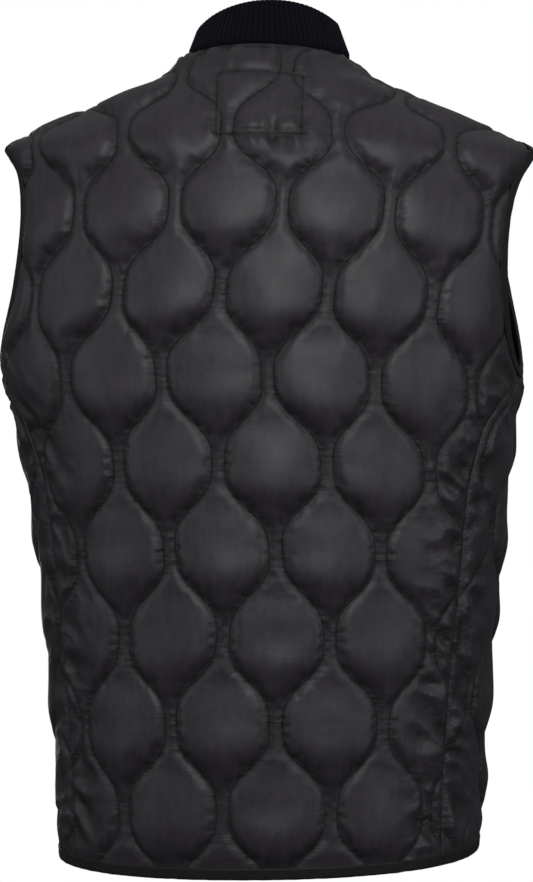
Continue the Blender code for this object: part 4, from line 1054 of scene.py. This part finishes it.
def bindingRings(edges, number, side, flip, seed):
    sign = np.array([-1.0 if flip else 1.0, 1.0])
    edge, inner = edges[number], marginRow(edges, number)
    rim, leg = wallPoints(edge * sign, side), wallPoints(inner * sign, side)
    rimNormal, legNormal = wallNormals(edge * sign, side), wallNormals(inner * sign, side)
    away = rim - leg
    away /= np.linalg.norm(away, axis=1)[:, None]
    reach = binding["width"] / cut["margin"]
    end, endNormal = rim + (leg - rim) * reach, rimNormal + (legNormal - rimNormal) * reach
    clear, wall = binding["clear"], binding["wall"]
    over, run, rings = quilting["edge"] + clear, runLengths(rim), []
    for i in range(len(edge)):
        def place(share, out, height):
            start = rim[i] + (end[i] - rim[i]) * share
            normal = rimNormal[i] + (endNormal[i] - rimNormal[i]) * share
            return start + away[i] * out + normal * height

        wave = binding["pucker"] * noise.noise((run[i] / binding["puckerPitch"], seed, 0.0))
        # over the edge, round it, and back under the cloth
        fold, low, high = wall + clear, -clear, over + binding["filling"]
        ring = [place(1.0, 0, high + wall * 0.2), place(0.97, 0, high + wall)]
        for s in (0.8, 0.6, 0.4, 0.2, 0.06):
            swell = wave * math.sin(math.pi * s) * 2
            ring.append(place(s, 0, high * (1 - (1 - s) * 0.25) + wall + swell))
        centre, half = (over + low) / 2, (over - low) / 2 + wall
        ring += [place(0.0, fold * math.sin(a) + wave, centre + half * math.cos(a))
                 for a in np.radians((20, 55, 90, 125, 160))]
        ring += [place(s, 0, low - wall) for s in (0.06, 0.35, 0.7, 0.97)]
        ring += [place(1.0, 0, low), place(0.1, 0, low), place(0.0, clear, centre),
                 place(0.1, 0, over), place(1.0, 0, over)]
        rings.append(np.array(ring))
    return rings


def joinedRings(first, second):
    if first is None:
        return second
    return first[:-1] + [(first[-1] + second[0]) / 2] + second[1:]


def makeBinding(name, node, parts, closed, seed):
    rings = None
    for edges, number, side, flip, backwards in parts:
        part = bindingRings(edges, number, side, flip, seed)
        rings = joinedRings(rings, part[::-1] if backwards else part)
    if closed:
        rings = [(rings[0] + rings[-1]) / 2] + rings[1:-1]
    points, faces = ringLoft(rings, closed)
    run = runLengths(np.array([ring[9] for ring in rings]))
    uv = np.concatenate([np.stack([np.full(len(ring), along), runLengths(ring)], axis=1)
                         for ring, along in zip(rings, run)])
    piece = finishedPiece(name, points, faces, bindingCloth, uv)
    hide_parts(node)
    print(name, "ready:", len(faces), "faces,", round(float(run[-1]), 3), "m long")
    seam = np.array([ring[2] * 0.55 + ring[1] * 0.45 for ring in rings])
    out = np.array([ring[2] - ring[-2] for ring in rings])
    seam += out / np.linalg.norm(out, axis=1)[:, None] * binding["threadClear"]
    threadRuns.append(np.concatenate([seam, seam[:1]]) if closed else seam)


backFine, frontFine = backEdges(binding["step"]), frontEdges(binding["step"])
makeBinding("armholeBindingLeft", "armhole_binding_left",
            [(backFine, 2, back, False, False), (frontFine, 2, front, False, True)], True, 4.0)
makeBinding("armholeBindingRight", "armhole_binding_right",
            [(backFine, 2, back, True, False), (frontFine, 2, front, True, True)], True, 5.0)
makeBinding("hemBinding", "hem_binding",
            [(frontFine, 0, front, True, False), (backFine, 0, back, False, False),
             (frontFine, 0, front, False, True)], False, 6.0)


# zip

zipForm = {
    "tapeInner": 0.0004, "tapeWall": 0.0008, "tapeClear": 0.0006,
    "chainBack": -0.0012, "chainFace": 0.0016,
    "step": 0.012, "columns": 7, "collarRows": 5,
    "foot": ((0.15, 0.36), (0.97, 0.36)),  # how far up the first row, and share of the width
    "boxTop": 0.0092, "boxClear": 0.001, "sliderBelowTop": 0.012, "teethPastSlider": 0.002,
    "rowApart": 0.00085, "rowStep": 0.003,
}


def zipRows(sign):
    # the front's edge and a margin inside it, with their normals, from the hem up the collar
    edges = frontEdges(zipForm["step"])
    last, mirror = len(edges) - 1, np.array([sign, 1.0])
    edge, leg = edges[last][::-1] * mirror, marginRow(edges, last)[::-1] * mirror
    rows = [wallPoints(edge, front), wallPoints(leg, front),
            wallNormals(edge, front), wallNormals(leg, front)]
    frames = [collarFrame(sign * turnAt(x)) for x in (cut["zipGap"], cut["zipGap"] + cut["margin"])]
    joined = []
    for number, row in enumerate(rows):
        foot, rise, wall, _ = frames[number % 2]
        if number < 2:
            heights = np.linspace(0.0, collarHeight(1.0), zipForm["collarRows"])
            above, joint = foot + rise * heights[:, None], (row[-1] + foot) / 2
        else:
            above = np.tile(wall, (zipForm["collarRows"], 1))
            joint = (row[-1] + wall) / np.linalg.norm(row[-1] + wall)
        joined.append(np.concatenate([row[:-1], [joint], above[1:]]))
    return joined


def makeTape(name, node, sign):
    rim, leg, rimOut, legOut = zipRows(sign)
    share = (cut["zipGap"] - zipForm["tapeInner"]) / cut["margin"]
    inner, rings = rim + (rim - leg) * share, []
    near, far = zipForm["tapeClear"], zipForm["tapeClear"] + zipForm["tapeWall"]
    for place, width in zipForm["foot"] + tuple((float(i), 1.0) for i in range(1, len(rim))):
        i = min(int(place), len(rim) - 2)
        start, end, startOut, endOut = (row[i] + (row[i + 1] - row[i]) * (place - i)
                                        for row in (inner, leg, rimOut, legOut))
        across = np.linspace(0.0, width, zipForm["columns"])[:, None]
        out = startOut + (endOut - startOut) * across
        face = start + (end - start) * across - out * near
        behind = start + (end - start) * across - out * far
        cord = start - startOut * (near + far) / 2 + (start - end) * 0.02
        rings.append(np.concatenate([face, behind[::-1], [cord]]))
    points, faces = ringLoft(rings, False)
    run = runLengths(np.array([ring[0] for ring in rings]))
    uv = np.concatenate([np.stack([runLengths(ring), np.full(len(ring), along)], axis=1)
                         for ring, along in zip(rings, run)])
    piece = finishedPiece(name, points, faces, tapeCloth, uv)
    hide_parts(node)
    whole = rings[len(zipForm["foot"]) + 7]
    width = float(np.linalg.norm(whole[0] - whole[zipForm["columns"] - 1]))
    print(name, "ready:", round(width, 4), "by", round(float(run[-1]), 3), "m")


def evaluatedPiece(holder, name):
    # the node tree's result as a plain mesh of its own
    graph = bpy.context.evaluated_depsgraph_get()
    mesh = bpy.data.meshes.new_from_object(holder.evaluated_get(graph))
    bpy.data.objects.remove(holder, do_unlink=True)
    mesh.name = name
    return placedPiece(name, mesh)


def repeatTree(name, sizes):
    tree = bpy.data.node_groups.new(name, "GeometryNodeTree")
    tree.is_modifier = True
    tree.interface.new_socket("Geometry", in_out="INPUT", socket_type="NodeSocketGeometry")
    for key, value in sizes.items():
        socket = tree.interface.new_socket(key, in_out="INPUT", socket_type="NodeSocketFloat")
        socket.default_value = value
    tree.interface.new_socket("Geometry", in_out="OUTPUT", socket_type="NodeSocketGeometry")
    return tree, addNode(tree, "NodeGroupInput"), addNode(tree, "NodeGroupOutput")


def repeatedAlong(name, runs, tree, sizes):
    mesh = bpy.data.meshes.new(name + "Runs")
    points, edges = [], []
    for run in runs:
        first = len(points)
        points += [tuple(p) for p in run]
        edges += [(first + i, first + i + 1) for i in range(len(run) - 1)]
    mesh.from_pydata(points, edges, [])
    holder = bpy.data.objects.new(name + "Runs", mesh)
    bpy.context.scene.collection.objects.link(holder)
    nodes = holder.modifiers.new("repeat", "NODES")
    nodes.node_group = tree
    for item in tree.interface.items_tree:
        if item.in_out == "INPUT" and item.name in sizes:
            nodes[item.identifier] = sizes[item.name]
    return holder


def finishedTree(tree, laid, material, result):
    # real faces, smooth and in their material, ready to be made a mesh
    real = addNode(tree, "GeometryNodeRealizeInstances", links={"Geometry": laid.outputs[0]})
    smooth = addNode(tree, "GeometryNodeSetShadeSmooth", links={"Geometry": real.outputs[0]})
    painted = addNode(tree, "GeometryNodeSetMaterial", inputs={"Material": material},
                      links={"Geometry": smooth.outputs[0]})
    tree.links.new(painted.outputs[0], result.inputs[0])
    return tree


stitchSizes = {"Stitch Spacing": 0.0034, "Stitch Length": 0.0026, "Thread Width": 0.00045}


def stitchTree(material):
    # a thread stitch: a slim rounded bead laid along the seam at each step
    tree, given, result = repeatTree("threadStitches", stitchSizes)
    curve = addNode(tree, "GeometryNodeMeshToCurve", links={"Mesh": given.outputs["Geometry"]})
    spots = addNode(tree, "GeometryNodeCurveToPoints", {"mode": "LENGTH"},
                    links={"Curve": curve.outputs[0], "Length": given.outputs["Stitch Spacing"]})
    bead = addNode(tree, "GeometryNodeMeshUVSphere",
                   inputs={"Segments": 5, "Rings": 4, "Radius": 0.5})
    size = addNode(tree, "ShaderNodeCombineXYZ", links={"X": given.outputs["Thread Width"],
                   "Y": given.outputs["Thread Width"], "Z": given.outputs["Stitch Length"]})
    laid = addNode(tree, "GeometryNodeInstanceOnPoints", links={
        "Points": spots.outputs["Points"], "Instance": bead.outputs["Mesh"],
        "Rotation": spots.outputs["Rotation"], "Scale": size.outputs[0]})
    return finishedTree(tree, laid, material, result)


toothSizes = {"Tooth Pitch": 0.0027, "Tooth Width": 0.0038, "Tooth Length": 0.00185,
              "Tooth Height": 0.0024}


def toothTree(material):
    # a zip tooth: a small block with its edges rounded, clamped on the tape's edge
    tree, given, result = repeatTree("zipTeeth", toothSizes)
    curve = addNode(tree, "GeometryNodeMeshToCurve", links={"Mesh": given.outputs["Geometry"]})
    spots = addNode(tree, "GeometryNodeCurveToPoints", {"mode": "LENGTH"},
                    links={"Curve": curve.outputs[0], "Length": given.outputs["Tooth Pitch"]})
    size = addNode(tree, "ShaderNodeCombineXYZ", links={"X": given.outputs["Tooth Height"],
                   "Y": given.outputs["Tooth Width"], "Z": given.outputs["Tooth Length"]})
    block = addNode(tree, "GeometryNodeMeshCube", inputs={"Size": (1.0, 1.0, 1.0)})
    rounder = addNode(tree, "GeometryNodeSubdivisionSurface",
                      inputs={"Level": 1, "Edge Crease": 0.55},
                      links={"Mesh": block.outputs["Mesh"]})
    laid = addNode(tree, "GeometryNodeInstanceOnPoints", links={
        "Points": spots.outputs["Points"], "Instance": rounder.outputs[0],
        "Rotation": spots.outputs["Rotation"], "Scale": size.outputs[0]})
    return finishedTree(tree, laid, material, result)


def makeTeeth():
    # two rows that mesh: each row's teeth stand in the other's gaps
    left, right = zipRows(1.0), zipRows(-1.0)
    place, out = (left[0] + right[0]) / 2, left[2] + right[2]
    out /= np.linalg.norm(out, axis=1)[:, None]
    place = place + out * (zipForm["chainFace"] + zipForm["chainBack"]) / 2
    run, runs = runLengths(place), []
    last = run[-1] - zipForm["sliderBelowTop"] + zipForm["teethPastSlider"]
    for side, offset in ((1, 0.0), (-1, 0.5)):
        first = zipForm["boxTop"] + zipForm["boxClear"] + offset * toothSizes["Tooth Pitch"]
        keep = np.arange(first, last, zipForm["rowStep"])
        row = np.stack([np.interp(keep, run, place[:, i]) for i in range(3)], axis=1)
        row[:, 0] += side * zipForm["rowApart"]
        runs.append(row)
    holder = repeatedAlong("zipTeeth", runs, toothTree(zipMetal), toothSizes)
    piece = evaluatedPiece(holder, "zipTeeth")
    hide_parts("zip_chain")
    print("zip teeth ready:", len(piece.data.polygons), "faces")


makeTape("zipTapeLeft", "zip_tape_left", 1.0)
makeTape("zipTapeRight", "zip_tape_right", -1.0)
makeTeeth()
for node in ("zip_slider", "zip_box", "pull_tab"):
    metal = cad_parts[node]
    metal.data.materials.clear()
    metal.data.materials.append(zipMetal)
stitches = repeatedAlong("stitches", threadRuns, stitchTree(threadPolyester), stitchSizes)
stitches = evaluatedPiece(stitches, "threadStitches")
print("stitches ready:", len(stitches.data.polygons), "faces")


# stage, light and camera

stage = {"floorLevel": -1.45, "floorSize": 1.7, "floor": "#e6e6e4", "lightsAim": -0.33}
view = {
    "azimuth": 188.0, "distance": 2.4, "height": -0.246, "lens": 112.6,
    "frame": (533, 882), "acrossPixel": 269.0, "horizonPixel": 341.8,
}
# the sky's strength grows with how far up a ray looks
sky = {"lowest": -0.1, "highest": 0.9, "below": 0.055, "above": 0.30}
lights = {  # place, size, watts
    "overCamera": ((-0.25, 2.6, 1.2), 1.8, 32.0),
    "left": ((2.5, 1.3, 0.2), 1.6, 8.0),
    "right": ((-2.5, 1.3, 0.2), 1.6, 12.0),
    "frontFill": ((0.6, -2.6, -0.25), 1.6, 24.0),
}


def buildStage():
    bpy.ops.mesh.primitive_circle_add(vertices=96, radius=stage["floorSize"], fill_type="NGON",
                                      location=(0, 0, stage["floorLevel"]))
    floor = bpy.context.object
    floor.name = "floor"
    material, _, _ = newMaterial("paleFloor", stage["floor"], 0.9)
    floor.data.materials.append(material)
    # it takes light and gives none to the cloth
    floor.visible_diffuse = floor.visible_glossy = False
    world = bpy.data.worlds.new("studio")
    world.use_nodes = True
    bpy.context.scene.world = world
    tree = world.node_tree
    seen = addNode(tree, "ShaderNodeLightPath")
    white = tree.nodes["Background"]
    white.inputs["Color"].default_value = (1.0, 1.0, 1.0, 1.0)
    place = addNode(tree, "ShaderNodeTexCoord")
    parts = addNode(tree, "ShaderNodeSeparateXYZ", links={"Vector": place.outputs["Generated"]})
    rise = addNode(tree, "ShaderNodeMapRange",
                   inputs={"From Min": sky["lowest"], "From Max": sky["highest"],
                           "To Min": sky["below"], "To Max": sky["above"]},
                   links={"Value": parts.outputs["Z"]})
    dim = addNode(tree, "ShaderNodeBackground", inputs={"Color": (1, 1, 1, 1)},
                  links={"Strength": rise.outputs["Result"]})
    mix = addNode(tree, "ShaderNodeMixShader")
    tree.links.new(seen.outputs["Is Camera Ray"], mix.inputs[0])
    tree.links.new(dim.outputs[0], mix.inputs[1])
    tree.links.new(white.outputs[0], mix.inputs[2])
    tree.links.new(mix.outputs[0], tree.nodes["World Output"].inputs[0])
    for name, (place, size, watts) in lights.items():
        lamp = bpy.data.lights.new(name, "AREA")
        lamp.shape, lamp.size, lamp.energy = "SQUARE", size, watts
        holder = bpy.data.objects.new(name, lamp)
        holder.location = place
        aim = Vector((0, 0, stage["lightsAim"])) - Vector(place)
        holder.rotation_euler = aim.to_track_quat("-Z", "Y").to_euler()
        bpy.context.scene.collection.objects.link(holder)
    turn = math.radians(view["azimuth"])
    lens = bpy.data.cameras.new("camera")
    lens.lens, lens.sensor_width, lens.sensor_fit = view["lens"], 36.0, "AUTO"
    wide, high = view["frame"]
    lens.shift_x = (wide / 2 - view["acrossPixel"]) / high
    lens.shift_y = -(high / 2 - view["horizonPixel"]) / high
    camera = bpy.data.objects.new("camera", lens)
    camera.location = (view["distance"] * math.sin(turn), -view["distance"] * math.cos(turn),
                       view["height"])
    camera.rotation_euler = (math.pi / 2, 0.0, turn)
    bpy.context.scene.collection.objects.link(camera)
    bpy.context.scene.camera = camera
    bpy.context.scene.view_settings.view_transform = "Standard"


buildStage()
print("stage ready:", len(lights), "lights")
